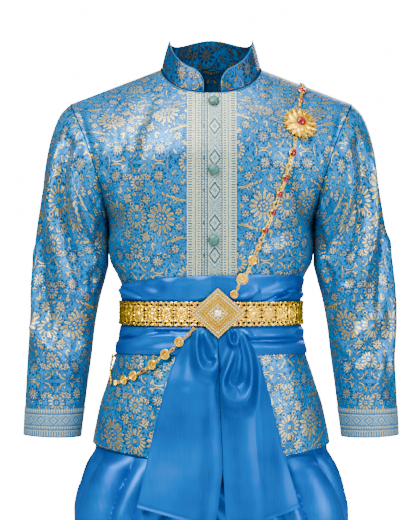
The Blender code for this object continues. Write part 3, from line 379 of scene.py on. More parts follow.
def curve(at, xs, ys):
    """A smooth curve through the points (xs, ys), level at each peak, so that it never overshoots them."""
    order = np.argsort(xs)
    xs, ys = np.asarray(xs, float)[order], np.asarray(ys, float)[order]
    steps = np.diff(ys) / np.diff(xs)
    slopes = np.zeros(len(xs))
    rising = steps[1:] * steps[:-1] > 0
    slopes[1:-1][rising] = 2 * (steps[1:] * steps[:-1])[rising] / (steps[1:] + steps[:-1])[rising]
    slopes[0], slopes[-1] = steps[0], steps[-1]
    at = np.clip(at, xs[0], xs[-1])
    i = np.clip(np.searchsorted(xs, at, side="right") - 1, 0, len(xs) - 2)
    span = xs[i + 1] - xs[i]
    t = (at - xs[i]) / span
    near = ys[i] * (1 + 2 * t) * (1 - t) ** 2 + slopes[i] * span * t * (1 - t) ** 2
    far = ys[i + 1] * (3 - 2 * t) * t**2 - slopes[i + 1] * span * (1 - t) * t**2
    return near + far


def between(rows, at, name):
    """A table's named column, as a smooth curve over its first column."""
    return curve(at, next(iter(rows.values())), rows[name])


def step(t):
    """0 below 0, 1 above 1 and smooth between."""
    t = np.clip(t, 0, 1)
    return t * t * (3 - 2 * t)


def power(value, exponent):
    """The power of the size of value, with its sign kept."""
    return np.sign(value) * np.abs(value) ** exponent


def unit(vectors):
    return vectors / np.maximum(np.linalg.norm(vectors, axis=-1, keepdims=True), 1e-9)


def stack(*parts):
    return np.stack(np.broadcast_arrays(*parts), axis=-1)


def folds(x, z, rows):
    """Ridges and troughs added up: each is a bell across its line, wider on one side by its lean, and it
    fades toward both ends of the line."""
    total = np.zeros(np.broadcast(x, z).shape)
    for x0, z0, x1, z1, half_width, height, lean in zip(*rows.values()):
        length = np.hypot(x1 - x0, z1 - z0)
        ahead_x, ahead_z = (x1 - x0) / length, (z1 - z0) / length
        along = (x - x0) * ahead_x + (z - z0) * ahead_z
        across = (x - x0) * ahead_z - (z - z0) * ahead_x
        past = along - np.clip(along, 0, length)
        wide = half_width * (1 + lean * np.sign(across))
        fade = 0.4 + 0.6 * np.sin(np.pi * np.clip(along / length, 0.12, 0.88))
        total += height * fade * np.exp(-((across / wide) ** 2) - (past / half_width) ** 2)
    return total


def loops(x, z, paths):
    """Draped folds added up: each is a crest along a smooth path, a bell of its own width on either side
    of it, with a shallower tuck beside its inner foot."""
    total = np.zeros(np.broadcast(x, z).shape)
    for path in paths:
        number = np.arange(len(path["x"]))
        at = np.linspace(0, number[-1], 90)
        px, pz, height, outer, inner = (curve(at, number, column) for column in path.values())
        ahead = unit(stack(np.gradient(px), np.gradient(pz)))
        spacing = np.hypot(np.gradient(px), np.gradient(pz))
        off_x, off_z = x[..., None] - px, z[..., None] - pz
        near = np.argmin(off_x**2 + off_z**2, axis=-1)
        off_x, off_z = (np.take_along_axis(off, near[..., None], -1)[..., 0] for off in (off_x, off_z))
        across = ahead[near, 0] * off_z - ahead[near, 1] * off_x
        along = np.abs(ahead[near, 0] * off_x + ahead[near, 1] * off_z) - spacing[near] / 2
        wide = np.where(across > 0, inner[near], outer[near])
        bell = np.exp(-((across / wide) ** 2) - (np.maximum(along, 0) / 4) ** 2)
        tuck = 0.12 * np.exp(-(((across - 2.1 * inner[near]) / (0.8 * inner[near])) ** 2))
        total += height[near] * (bell - tuck * np.exp(-((np.maximum(along, 0) / 4) ** 2)))
    return total


def ridge_height(x, side):
    """Height of the shoulder line above x, on the front (side -1) or the back (side 1)."""
    x = np.abs(x)
    inside = NECK_TOP + NECK_RISE[side] * (1 - (x / NECK_WIDTH) ** 2)
    return np.where(x < NECK_WIDTH, inside, NECK_TOP - SHOULDER_SLOPE * (x - NECK_WIDTH))


def section(share):
    """How deep the rounded section is, as a share of its depth, at a share of its half width."""
    return (1 - np.clip(np.abs(share), 0, 1) ** SQUARE) ** (1 / SQUARE)


def form_y(x, z, side, out=0.0):
    """y of the jacket's surface at x and z, moved out: a rounded section that closes in over the shoulder."""
    half_width = between(BODY, z, "half_width") + out
    depth = between(BODY, z, "front" if side < 0 else "back") + out
    fall = np.clip((ridge_height(x, side) + out - z) / SHOULDER_DROP[side], 0, 1)
    shoulder = (1 - (1 - fall) ** SHOULDER_ROUND) ** (1 / SHOULDER_ROUND)
    return SEAM_Y + side * depth * section(x / half_width) * shoulder


def around(angle, z, out=0.0):
    """Points round the body below the underarm. The angle is 0 in front and 90 at the wearer's left side."""
    turn = np.radians(angle)
    half_width, front, back = (between(BODY, z, name) + out for name in ("half_width", "front", "back"))
    x = half_width * power(np.sin(turn), 2 / SQUARE)
    y = SEAM_Y - np.where(np.cos(turn) > 0, front, back) * power(np.cos(turn), 2 / SQUARE)
    return stack(x, y, z)


def neck_point(angle):
    """A point of the neckline seam, on the jacket's surface. The angle is 0 in front and 180 behind."""
    turn = np.radians(angle)
    x = NECK_WIDTH * power(np.sin(turn), 2 / NECK_SQUARE)
    reach = np.where(np.cos(turn) > 0, NECK_DEPTH[-1], NECK_DEPTH[1])
    y = NECK_Y - reach * power(np.cos(turn), 2 / NECK_SQUARE)
    z = np.zeros_like(x)
    for side in (-1, 1):
        depth = BODY["front" if side < 0 else "back"][-1] * section(x / BODY["half_width"][-1])
        share = np.clip(side * (y - SEAM_Y) / depth, 0, 1)
        fall = 1 - (1 - share**SHOULDER_ROUND) ** (1 / SHOULDER_ROUND)
        z = np.where(side * (y - SEAM_Y) >= 0, ridge_height(x, side) - SHOULDER_DROP[side] * fall, z)
    return stack(x, y, z)


def mirror(points):
    return points * np.array([-1, 1, 1])


def travel(grid, axis):
    """Distance covered along a grid, from its first row or column."""
    steps = np.linalg.norm(np.diff(grid, axis=axis), axis=-1)
    first = np.zeros_like(np.take(steps, [0], axis=axis))
    return np.concatenate([first, np.cumsum(steps, axis=axis)], axis=axis)


# Meshes


def normals(grid, closed=False):
    """Unit normals of a grid of points, from the differences between neighbours."""
    if closed:
        across = np.roll(grid, -1, axis=1) - np.roll(grid, 1, axis=1)
    else:
        across = np.gradient(grid, axis=1)
    return unit(np.cross(across, np.gradient(grid, axis=0)))


def outward(grid, closed=False):
    """Normals turned away from the middle of each ring, or from the garment's upright axis."""
    middle = grid.mean(axis=1, keepdims=True) if closed else np.array([0, SEAM_Y, 0])
    normal = normals(grid, closed)
    away = (grid - middle) * (np.ones(3) if closed else np.array([1, 1, 0]))
    return normal * np.sign((normal * away).sum())


def add_mesh(name, points, faces, uv=None, sharp=45):
    """An object from points in millimetres and arrays of faces; uv holds the corners' places likewise."""
    sizes = np.concatenate([np.full(len(part), part.shape[1]) for part in faces])
    corners = np.concatenate([part.reshape(-1) for part in faces])
    mesh = bpy.data.meshes.new(name)
    mesh.vertices.add(len(points))
    mesh.vertices.foreach_set("co", (points * MM).astype(np.float32).ravel())
    mesh.loops.add(len(corners))
    mesh.loops.foreach_set("vertex_index", corners.astype(np.int32))
    mesh.polygons.add(len(sizes))
    mesh.polygons.foreach_set("loop_start", np.concatenate([[0], np.cumsum(sizes)[:-1]]).astype(np.int32))
    if uv is not None:
        layer = mesh.uv_layers.new(name="cut")
        layer.uv.foreach_set("vector", np.concatenate([u.reshape(-1) for u in uv]).astype(np.float32))
    mesh.update(calc_edges=True)
    mesh.validate()
    mesh.shade_smooth()
    mesh.set_sharp_from_angle(angle=np.radians(sharp))
    made = bpy.data.objects.new(name, mesh)
    bpy.context.collection.objects.link(made)
    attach(made, "root")
    return made


def edge_ends(corners, chosen=slice(None)):
    """What lies at both ends of the faces' edges, in a row, from what lies at each corner."""
    ends = corners, np.roll(corners, -1, axis=1)
    return [end.reshape(-1, *corners.shape[2:])[chosen] for end in ends]


def open_edges(quads, count):
    """Which of the faces' edges no other face shares, among so many points."""
    a, b = edge_ends(quads)
    return ~np.isin(a * count + b, b * count + a)


def shell(name, outer, uv, wall=WALL, closed=False, number=None, apart=None, ways=None):
    """A thin wall: the outer grid, the same grid moved in along its normals or along other ways, and
    strips that close its edges.

    uv has one more column than a closed grid. number may give the same point to two places of the grid,
    and apart is a column whose cells are left out.
    """
    rows, columns = outer.shape[:2]
    i, j = np.indices((rows - 1, columns if closed else columns - 1)).reshape(2, -1)
    i, j = (i, j) if apart is None else (i[j != apart], j[j != apart])
    ci, cj = np.stack([i, i, i + 1, i + 1], 1), np.stack([j, j + 1, j + 1, j], 1)
    number = np.arange(rows * columns).reshape(rows, columns) if number is None else number
    quads, flat = number[ci, cj % columns], uv[ci, cj]
    ways = outward(outer, closed) if ways is None else ways
    if (ways * normals(outer, closed)).sum() < 0:
        quads, flat = quads[:, ::-1], flat[:, ::-1]
    inner = outer - np.asarray(wall)[..., None] * ways
    count = rows * columns
    lone = open_edges(quads, count)
    (a, b), (flat_a, flat_b) = edge_ends(quads, lone), edge_ends(flat, lone)
    return add_mesh(
        name,
        np.concatenate([outer.reshape(-1, 3), inner.reshape(-1, 3)]),
        [quads, quads[:, ::-1] + count, np.stack([b, a, a + count, b + count], 1)],
        [flat, flat[:, ::-1], np.stack([flat_b, flat_a, flat_a, flat_b], 1)],
    )


def flat_area(uv):
    """Area of the flat cut, from the places of its grid."""
    d1, d2 = uv[1:, 1:] - uv[:-1, :-1], uv[1:, :-1] - uv[:-1, 1:]
    return float(np.abs(d1[..., 0] * d2[..., 1] - d1[..., 1] * d2[..., 0]).sum() / 2)


def declare(uv):
    """Works out the width, length and area of a cloth piece's flat cut from its places, and keeps none of
    them.
    """
    width, length = np.ptp(uv.reshape(-1, 2), axis=0) * MM
    area = min(flat_area(uv) * MM**2, width * length)


def complete(piece, material, cad_node=None):
    """Gives a piece its material, and hides the CAD part that it replaces, where there is one."""
    if cad_node:
        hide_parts(cad_node)
    piece.data.materials.append(material)


# Materials

# The brocade's figures in one quarter of its repeat, which is mirrored both ways, in millimetres from the
# middle of the front's half flower, out and up. Petals: their inner and outer radius, how many, and how full.
REPEAT = (86.0, 88.0)
PETALS = table(
    "x y inner outer count full",
    (0, 0, 8.2, 18.5, 15, 0.6),
    (86, 88, 9, 21.5, 17, 0.55),
    (43, 88, 10.5, 25, 15, 0.6),
    (43, 88, 4.2, 9.2, 7, 0.6),
    (48, 21, 1, 11.5, 10, 0.55),
    (86, 34, 5.5, 14.5, 12, 0.55),
    (68, 58, 0.8, 9.4, 8, 0.6),
    (20, 42, 0.8, 8.6, 7, 0.6),
    (66, 24, 0.8, 6.6, 6, 0.6),
    (14, 76, 0.8, 7.4, 6, 0.6),
    (86, 34, 0.4, 4, 4, 0.7),
)
DOTS = table(
    "x y radius",
    (0, 0, 1.8),
    (86, 88, 3.2),
    (43, 88, 2.2),
    (30, 30, 2.2),
    (33, 66, 2),
    (70, 10, 2.2),
    (56, 40, 1.9),
    (10, 22, 1.8),
    (78, 52, 1.8),
    (56, 6, 1.6),
)
COILS = table(
    "x y radius half_width",
    (36, 30, 3, 0.9),
    (29, 38, 2.2, 0.8),
    (60, 33, 2.4, 0.9),
    (77, 68, 2.8, 1),
    (20, 60, 2.8, 0.9),
    (8, 30, 2.6, 0.9),
    (58, 73, 2.4, 0.9),
)
# Leaves and stems: from end to end, how far they bow to one side, and their width
LEAVES = table(
    "start_x start_y end_x end_y bow width",
    (30, -18, 30, 18, -5, 2.2),
    (35, 8, 61, 9, -7, 2.8),
    (26, 50, 0, 58, -4.5, 5),
    (40, 52, 2, 66, 3, 2.8),
    (36, 54, 42, 45, 0.2, 3.8),
    (30, 56, 34, 47, 0.2, 3.4),
    (24, 58, 26, 50, 0.2, 3),
    (33, 56, 38, 62, 0.2, 3.4),
    (26, 60, 29, 67, 0.2, 3.2),
    (58, 50, 56, 40, 0.3, 4.5),
    (58, 50, 50, 46, 0.3, 4),
    (57, 52, 62, 62, 2.5, 2),
    (66, 4, 77, 16, -6, 3),
    (77, 16, 67, 16, -4, 2.6),
    (80, 20, 72, 28, 1, 3.8),
    (83, 18, 80, 8, 0.4, 3.4),
    (62, 74, 84, 62, -6, 2.6),
    (72, 48, 78, 58, 3, 2.4),
    (80, 48, 84, 56, 0.4, 3.6),
    (4, 84, 12, 88, 0.4, 4),
    (4, 24, 14, 32, 3, 3.4),
    (14, 32, 8, 38, 3, 2.8),
    (18, 12, 27, 22, -1, 3.8),
    (62, 2, 56, 12, 1, 3.8),
    (52, 34, 40, 38, 3, 2.2),
    (46, 58, 52, 66, 3, 3),
    (68, 38, 76, 46, 3, 3),
)


def linear(colour):
    """An sRGB hex colour as linear red, green, blue and alpha."""
    parts = np.array([int(colour[k : k + 2], 16) for k in (1, 3, 5)]) / 255
    return (*np.where(parts <= 0.04045, parts / 12.92, ((parts + 0.055) / 1.055) ** 2.4), 1.0)


def new_material(name):
    """A material with its node tree and its Principled shader."""
    made = bpy.data.materials.new(name)
    made.use_nodes = True
    return made, made.node_tree, made.node_tree.nodes["Principled BSDF"]


def connect(tree, made, inputs):
    """Sets a node's inputs, by name or number, each to a value or to another node's output."""
    for key, value in dict(inputs).items():
        if isinstance(value, bpy.types.NodeSocket):
            tree.links.new(value, made.inputs[key])
        else:
            made.inputs[key].default_value = value


def node(tree, kind, inputs=(), stops=(), **settings):
    """Adds a node and gives its outputs. The stops of a colour ramp are positions and sRGB hex values."""
    made = tree.nodes.new("ShaderNode" + kind)
    for name, value in settings.items():
        setattr(made, name, value)
    connect(tree, made, inputs)
    for k, (place, colour) in enumerate(stops):
        elements = made.color_ramp.elements
        stop = elements[k] if k < len(elements) else elements.new(place)
        stop.position, stop.color = place, linear(colour)
    return made.outputs


def gold_figures(tree, u, v):
    """How deep in a figure the cloth's place u, v lies, in millimetres, below 0 outside: the largest of
    the depths in petals, round grains, coils and leaves. Petals are blunt inside and pointed outside, and
    a leaf lies between two circles through both of its ends."""
    place = node(tree, "CombineXYZ", {0: u, 1: v})[0]
    shapes = []
    for x, y, inner, outer, count, full in zip(*PETALS.values()):
        off = node(tree, "VectorMath", {0: place, 1: (x, y, 0)}, operation="SUBTRACT")[0]
        parts = node(tree, "SeparateXYZ", {0: off})
        way = node(tree, "Math", {0: parts[1], 1: parts[0]}, operation="ARCTAN2")[0]
        lobe = node(tree, "Math", {0: way, 1: count / 2}, operation="MULTIPLY")[0]
        lobe = node(tree, "Math", {0: lobe}, operation="SINE")[0]
        lobe = node(tree, "Math", {0: lobe}, operation="ABSOLUTE")[0]
        far = node(tree, "VectorMath", {0: off}, operation="LENGTH")[1]
        long = outer - inner
        share = node(tree, "Math", {0: far, 1: 1 / long, 2: -inner / long}, operation="MULTIPLY_ADD")[0]
        narrow = node(tree, "Math", {0: share, 1: share}, operation="MULTIPLY")[0]
        narrow = node(tree, "Math", {0: narrow, 1: -full, 2: full - 1}, operation="MULTIPLY_ADD")[0]
        side = node(tree, "Math", {0: lobe, 1: narrow}, operation="ADD")[0]
        side = node(tree, "Math", {0: side, 1: 1.6 * (inner + outer) / count}, operation="MULTIPLY")[0]
        foot = node(tree, "Math", {0: far, 1: inner}, operation="SUBTRACT")[0]
        shapes.append(node(tree, "Math", {0: side, 1: foot}, operation="MINIMUM")[0])
    for x, y, radius in zip(*DOTS.values()):
        far = node(tree, "VectorMath", {0: place, 1: (x, y, 0)}, operation="DISTANCE")[1]
        shapes.append(node(tree, "Math", {0: radius, 1: far}, operation="SUBTRACT")[0])
    for x, y, radius, half_width in zip(*COILS.values()):
        far = node(tree, "VectorMath", {0: place, 1: (x, y, 0)}, operation="DISTANCE")[1]
        far = node(tree, "Math", {0: far, 1: radius}, operation="SUBTRACT")[0]
        far = node(tree, "Math", {0: far}, operation="ABSOLUTE")[0]
        shapes.append(node(tree, "Math", {0: half_width, 1: far}, operation="SUBTRACT")[0])
    for x0, y0, x1, y1, bow, width in zip(*LEAVES.values()):
        chord = np.hypot(x1 - x0, y1 - y0)
        sideways = np.array([y0 - y1, x1 - x0]) / chord
        sides = []
        for rise, inner in ((bow + width / 2, 1), (bow - width / 2, -1)):
            rise = rise if abs(rise) > 0.05 else 0.05
            radius = (chord**2 / 4 + rise**2) / (2 * rise)
            x, y = np.array([x0 + x1, y0 + y1]) / 2 + sideways * (rise - radius)
            far = node(tree, "VectorMath", {0: place, 1: (x, y, 0)}, operation="DISTANCE")[1]
            sign = inner * np.sign(rise)
            within = {0: far, 1: -sign, 2: sign * abs(radius)}
            sides.append(node(tree, "Math", within, operation="MULTIPLY_ADD")[0])
        shapes.append(node(tree, "Math", {0: sides[0], 1: sides[1]}, operation="MINIMUM")[0])
    most = shapes[0]
    for shape in shapes[1:]:
        most = node(tree, "Math", {0: most, 1: shape}, operation="MAXIMUM")[0]
    return most


def brocade(name, ground, shade, outline_and_painted_shade, edge, thread, inside, scale=1.0):
    """Silk brocade: a satin ground with figures in gold thread that lie on it. The ground is smooth and
    shines softly; the thread is metal foil round a core, pale where the light meets it, dull brown where
    it doesn't. Its edges are painted brown and the ground beside them painted dark, partly as a dark
    outline and partly as painted shade where the thread dips into the cloth."""
    made, tree, shader = new_material(name)
    place = node(tree, "SeparateXYZ", {0: node(tree, "UVMap", uv_map="cut")[0]})
    across = node(tree, "Math", {0: place[0], 1: scale}, operation="MULTIPLY")[0]
    along = node(tree, "Math", {0: place[1], 1: scale}, operation="MULTIPLY")[0]
    u = node(tree, "Math", {0: across, 1: REPEAT[0]}, operation="PINGPONG")[0]
    v = node(tree, "Math", {0: along, 1: REPEAT[1]}, operation="PINGPONG")[0]
    depth = gold_figures(tree, u, v)
    # Threads lie 0.2 mm apart on such silk, drawn 2.2 mm apart so that the weave still shows
    spot = node(tree, "CombineXYZ", {0: place[0], 1: place[1]})[0]
    weave = node(tree, "TexNoise", {"Vector": spot, "Scale": 0.45, "Detail": 2.0, "Roughness": 0.6})[0]
    slub = node(tree, "TexNoise", {"Vector": spot, "Scale": 0.022, "Detail": 4.0})[0]
    # Vines run between the figures, about 8 mm apart, along the lines where a smooth noise passes two levels
    corner = node(tree, "CombineXYZ", {0: u, 1: v})[0]
    vine = node(tree, "TexNoise", {"Vector": corner, "Scale": 0.115, "Detail": 0.6, "Roughness": 0.5})[0]
    vine = node(tree, "Math", {0: vine, 1: 0.1}, operation="PINGPONG")[0]
    vine = node(tree, "Math", {0: vine, 1: -30.0, 2: 0.3}, operation="MULTIPLY_ADD")[0]
    clear = node(tree, "Math", {0: depth, 1: -1.0, 2: -2.0}, operation="MULTIPLY_ADD")[0]
    vine = node(tree, "Math", {0: vine, 1: clear}, operation="MINIMUM")[0]
    depth = node(tree, "Math", {0: depth, 1: vine}, operation="MAXIMUM")[0]
    rough_edge = node(tree, "Math", {0: weave, 1: 1.2, 2: -1.1}, operation="MULTIPLY_ADD")[0]
    depth = node(tree, "Math", {0: depth, 1: rough_edge}, operation="ADD")[0]
    # The ramp covers 2 mm outside a figure's edge to 2 mm inside it
    within = node(tree, "Math", {0: depth, 1: 0.25, 2: 0.5}, operation="MULTIPLY_ADD")[0]
    figure = node(tree, "Math", {0: depth, 1: 1.6, 2: 0.5}, operation="MULTIPLY_ADD", use_clamp=True)[0]
    # The ground beside a figure is painted dark as shade and outline; the silk's slubs darken it in patches
    painted_shade_beside = node(tree, "ValToRGB", {0: within}, [(0.16, "#ffffff"), (0.34, "#000000")])[0]
    patch = node(tree, "ValToRGB", {0: slub}, [(0.3, "#000000"), (0.75, "#ffffff")])[0]
    blue = node(tree, "Mix", {0: patch, 6: linear(shade), 7: linear(ground)}, data_type="RGBA")[2]
    blue = node(tree, "Mix", {0: painted_shade_beside, 6: linear(outline_and_painted_shade), 7: blue}, data_type="RGBA")[2]
    # The gold's edge is painted brown: painted shade where the thread dips into the cloth, partly an outline
    gold = node(tree, "ValToRGB", {0: within}, [(0.46, edge), (0.56, thread), (0.78, inside)])[0]
    # Painted glints: the weave's noise brightens and darkens the gold's colour strongly, the ground's a
    # little
    painted_glint = node(tree, "Math", {0: weave, 1: 3.0, 2: -0.5}, operation="MULTIPLY_ADD")[0]
    gold = node(tree, "Mix", {0: 1.0, 6: gold, 7: painted_glint}, data_type="RGBA", blend_type="MULTIPLY")[2]
    painted_glint_grain = node(tree, "Math", {0: weave, 1: 1.2, 2: 0.4}, operation="MULTIPLY_ADD")[0]
    blue = node(tree, "Mix", {0: 1.0, 6: blue, 7: painted_glint_grain}, data_type="RGBA", blend_type="MULTIPLY")[2]
    colour = node(tree, "Mix", {0: figure, 6: blue, 7: gold}, data_type="RGBA")[2]
    metal = node(tree, "Math", {0: figure, 1: 0.5, 2: 0.44}, operation="MULTIPLY_ADD")[0]
    rough = node(tree, "Math", {0: figure, 1: 0.04, 2: 0.38}, operation="MULTIPLY_ADD")[0]
    height = node(tree, "Math", {0: figure, 1: 0.6, 2: weave}, operation="MULTIPLY_ADD")[0]
    # The silk also ripples by a millimetre over a few centimetres
    lie = node(tree, "Mapping", {"Vector": spot, "Rotation": (0, 0, 0.5), "Scale": (0.036, 0.014, 1.0)})[0]
    ripple = node(tree, "TexNoise", {"Vector": lie, "Scale": 1.0, "Detail": 1.5})[0]
    height = node(tree, "Math", {0: ripple, 1: 22.0, 2: height}, operation="MULTIPLY_ADD")[0]
    bump = node(tree, "Bump", {"Strength": 0.5, "Distance": 0.0004, "Height": height})[0]
    looks = {"Base Color": colour, "Metallic": metal, "Roughness": rough, "Normal": bump}
    connect(tree, shader, {**looks, "Specular IOR Level": 0.12})
    return made


def woven_gold(name, across, along, bands, lozenge, thread, pale, ground, line, rich=1.0):
    """A border woven in gold thread on blue: pale bands, and bands of rungs, of beads, of fine stripes and
    of lozenges with dark outlines. Painted glints make the coarse bright thread paler in grains.

    Each band is (where it ends in mm from the edge, its kind): r rungs, b beads, s stripes, p pale, d dark
    ground, l lozenges. The lozenges' sizes are their middle from the edge, half width, half height,
    spacing and start.
    """
    made, tree, shader = new_material(name)
    place = node(tree, "SeparateXYZ", {0: node(tree, "UVMap", uv_map="cut")[0]})
    t, s = place[across], place[along]
    spot = node(tree, "CombineXYZ", {0: place[0], 1: place[1]})[0]
    thread_grain = node(tree, "TexNoise", {"Vector": spot, "Scale": 0.5, "Detail": 2.0, "Roughness": 0.7})[0]
    width = bands[-1][0]
    share = node(tree, "Math", {0: t, 1: 1 / width}, operation="MULTIPLY")[0]
    starts = [0.0] + [end / width for end, _ in bands[:-1]]
    # Rungs and beads lie 4 mm apart, and stripes 3.2, as coarse as they need to be to show
    masks = {"p": 1.0, "d": 0.06}
    rungs, beads, stripes = ("r", s, 2.0, 1.5, -1.0), ("b", s, 2.0, 1.3, -0.7), ("s", t, 1.6, 1.4, -0.5)
    for kind, way, half, gain, level in (rungs, beads, stripes):
        wave = node(tree, "Math", {0: way, 1: half}, operation="PINGPONG")[0]
        mask = node(tree, "Math", {0: wave, 1: gain, 2: level}, operation="MULTIPLY_ADD", use_clamp=True)
        masks[kind] = mask[0]
    middle, half_wide, half_tall, apart, start = lozenge
    off = node(tree, "Math", {0: t, 1: middle}, operation="SUBTRACT")[0]
    off = node(tree, "Math", {0: off}, operation="ABSOLUTE")[0]
    along_s = node(tree, "Math", {0: s, 1: -start}, operation="ADD")[0]
    along_s = node(tree, "Math", {0: along_s, 1: apart / 2}, operation="PINGPONG")[0]
    inner = node(tree, "Math", {0: off, 1: 1 / half_wide}, operation="MULTIPLY")[0]
    reach = node(tree, "Math", {0: along_s, 1: 1 / half_tall, 2: inner}, operation="MULTIPLY_ADD")[0]
    wobble = node(tree, "Math", {0: thread_grain, 1: 0.24, 2: -0.12}, operation="MULTIPLY_ADD")[0]
    reach = node(tree, "Math", {0: reach, 1: wobble}, operation="ADD")[0]
    # From a lozenge's heart to its outline, the ground between two, and the half lozenges beside it
    frames = [(0, "#dddddd"), (0.12, "#5a5a5a"), (0.2, "#e8e8e8"), (0.36, "#e0e0e0"), (0.42, "#101010")]
    frames += [(0.52, "#101010"), (0.6, "#f4f4f4"), (0.7, "#d0d0d0"), (0.8, "#707070"), (0.9, "#dcdcdc")]
    frames += [(1, "#b8b8b8")]
    half_reach = node(tree, "Math", {0: reach, 1: 0.5}, operation="MULTIPLY")[0]
    masks["l"] = node(tree, "ValToRGB", {0: half_reach}, frames)[0]
    total = None
    for kind in sorted({kind for _, kind in bands}):
        stops = [(start, "#ffffff" if own == kind else "#000000") for start, (_, own) in zip(starts, bands)]
        pick = node(tree, "ValToRGB", {0: share}, stops)[0]
        pick.node.color_ramp.interpolation = "CONSTANT"
        part = node(tree, "Math", {0: pick, 1: masks[kind]}, operation="MULTIPLY")[0]
        total = part if total is None else node(tree, "Math", {0: total, 1: part}, operation="ADD")[0]
    # Painted glints: noise makes the thread paler in grains
    painted_glint_grain = node(tree, "Math", {0: thread_grain, 1: 4.6 * rich, 2: -1.4 * rich}, operation="MULTIPLY_ADD")[0]
    figure = node(tree, "Math", {0: total, 1: painted_glint_grain}, operation="MULTIPLY", use_clamp=True)[0]
    stops = [(0.0, line), (0.3, ground), (0.55, thread), (0.95, pale)]
    colour = node(tree, "ValToRGB", {0: figure}, stops)[0]
    metal = node(tree, "Math", {0: figure, 1: 0.4, 2: 0.1}, operation="MULTIPLY_ADD")[0]
    bump = node(tree, "Bump", {"Strength": 0.6, "Distance": 0.0005, "Height": figure})[0]
    connect(tree, shader, {"Base Color": colour, "Metallic": metal, "Roughness": 0.42, "Normal": bump})
    return made


def satin(name, face, shade, glint, gloss=0.65):
    """Polyester satin: long floats that all lie one way, so it gives broad bright bands along its folds,
    and is less glossy where the floats hang straight down."""
    made, tree, shader = new_material(name)
    place = node(tree, "UVMap", uv_map="cut")[0]
    # Floats lie 0.15 mm apart on such satin, drawn 1.5 mm apart and 40 mm long so that they show
    spot = node(tree, "Mapping", {"Vector": place, "Scale": (0.6, 0.03, 1.0)})[0]
    floats = node(tree, "TexNoise", {"Vector": spot, "Scale": 1.0, "Detail": 3.0, "Roughness": 0.55})[0]
    cloud = node(tree, "TexNoise", {"Vector": place, "Scale": 0.014, "Detail": 2.0})[0]
    cloud = node(tree, "Math", {0: cloud, 1: 0.7}, operation="MULTIPLY")[0]
    both = node(tree, "Math", {0: floats, 1: 0.3, 2: cloud}, operation="MULTIPLY_ADD")[0]
    colour = node(tree, "ValToRGB", {0: both}, [(0.35, shade), (0.62, face)])[0]
    rough = node(tree, "Math", {0: floats, 1: 0.08, 2: 0.43}, operation="MULTIPLY_ADD")[0]
    bump = node(tree, "Bump", {"Strength": 0.2, "Distance": 0.0003, "Height": floats})[0]
    looks = {"Base Color": colour, "Metallic": gloss, "Roughness": rough, "Normal": bump}
    connect(tree, shader, {**looks, "Specular IOR Level": 0.2, "Specular Tint": linear(glint)})
    return made


def cast_gilt(name, bright, painted_shade_and_patch, rough, worn=(0.4, 0.5)):
    """Gilded brass, cast and polished on its high places: warm, darker in its low places as painted shade and
    in patches a few mm wide. Between the two worn values of Pointiness it goes from shaded to polished."""
    made, tree, shader = new_material(name)
    place = node(tree, "TexCoord")["Object"]
    patch = node(tree, "TexNoise", {"Vector": place, "Scale": 240.0, "Detail": 3.0, "Roughness": 0.6})[0]
    pits = node(tree, "TexNoise", {"Vector": place, "Scale": 900.0, "Detail": 2.0})[0]
    # Pointiness darkens the low places: painted shade
    high = node(tree, "NewGeometry")["Pointiness"]
    high = node(tree, "ValToRGB", {0: high}, [(worn[0], "#000000"), (worn[1], "#ffffff")])[0]
    high = node(tree, "Math", {0: high, 1: 0.75}, operation="MULTIPLY")[0]
    both = node(tree, "Math", {0: patch, 1: 0.35, 2: high}, operation="MULTIPLY_ADD")[0]
    colour = node(tree, "ValToRGB", {0: both}, [(0.12, painted_shade_and_patch), (0.5, bright)])[0]
    tarnish = node(tree, "Math", {0: patch, 1: 0.2, 2: rough}, operation="MULTIPLY_ADD")[0]
    bump = node(tree, "Bump", {"Strength": 0.25, "Distance": 0.0003, "Height": pits})[0]
    connect(tree, shader, {"Base Color": colour, "Metallic": 1.0, "Roughness": tarnish, "Normal": bump})
    return made


def cut_stone(name, light, dark, metallic, ior, rough):
    """A cut or domed stone over foil: hard and polished, its colour deeper in places."""
    made, tree, shader = new_material(name)
    place = node(tree, "TexCoord")["Object"]
    depth = node(tree, "TexNoise", {"Vector": place, "Scale": 320.0, "Detail": 2.0})[0]
    colour = node(tree, "ValToRGB", {0: depth}, [(0.35, dark), (0.65, light)])[0]
    looks = {"Base Color": colour, "Metallic": metallic, "Roughness": rough, "IOR": ior}
    connect(tree, shader, {**looks, "Coat Weight": 0.06, "Coat Roughness": 0.04})
    return made


def pressed_jade(name, light, dark):
    """Moulded resin like jade: green, waxy, with the grains of its pressed flower 1.2 mm apart."""
    made, tree, shader = new_material(name)
    place = node(tree, "TexCoord")["Object"]
    grains = node(tree, "TexVoronoi", {"Vector": place, "Scale": 620.0}, feature="SMOOTH_F1")[0]
    cloud = node(tree, "TexNoise", {"Vector": place, "Scale": 260.0, "Detail": 3.0})[0]
    cloud = node(tree, "Math", {0: cloud, 1: 1.3}, operation="MULTIPLY")[0]
    both = node(tree, "Math", {0: grains, 1: -0.6, 2: cloud}, operation="MULTIPLY_ADD")[0]
    colour = node(tree, "ValToRGB", {0: both}, [(0.15, dark), (0.6, light)])[0]
    bump = node(tree, "Bump", {"Strength": 0.7, "Distance": 0.0008, "Height": grains})[0]
    connect(tree, shader, {"Base Color": colour, "Roughness": 0.34, "IOR": 1.5, "Normal": bump})
    return made


BROCADE = brocade("silk_brocade", "#0080bc", "#005a9a", "#00355a", "#5c4a20", "#d8ca84", "#a08c48")
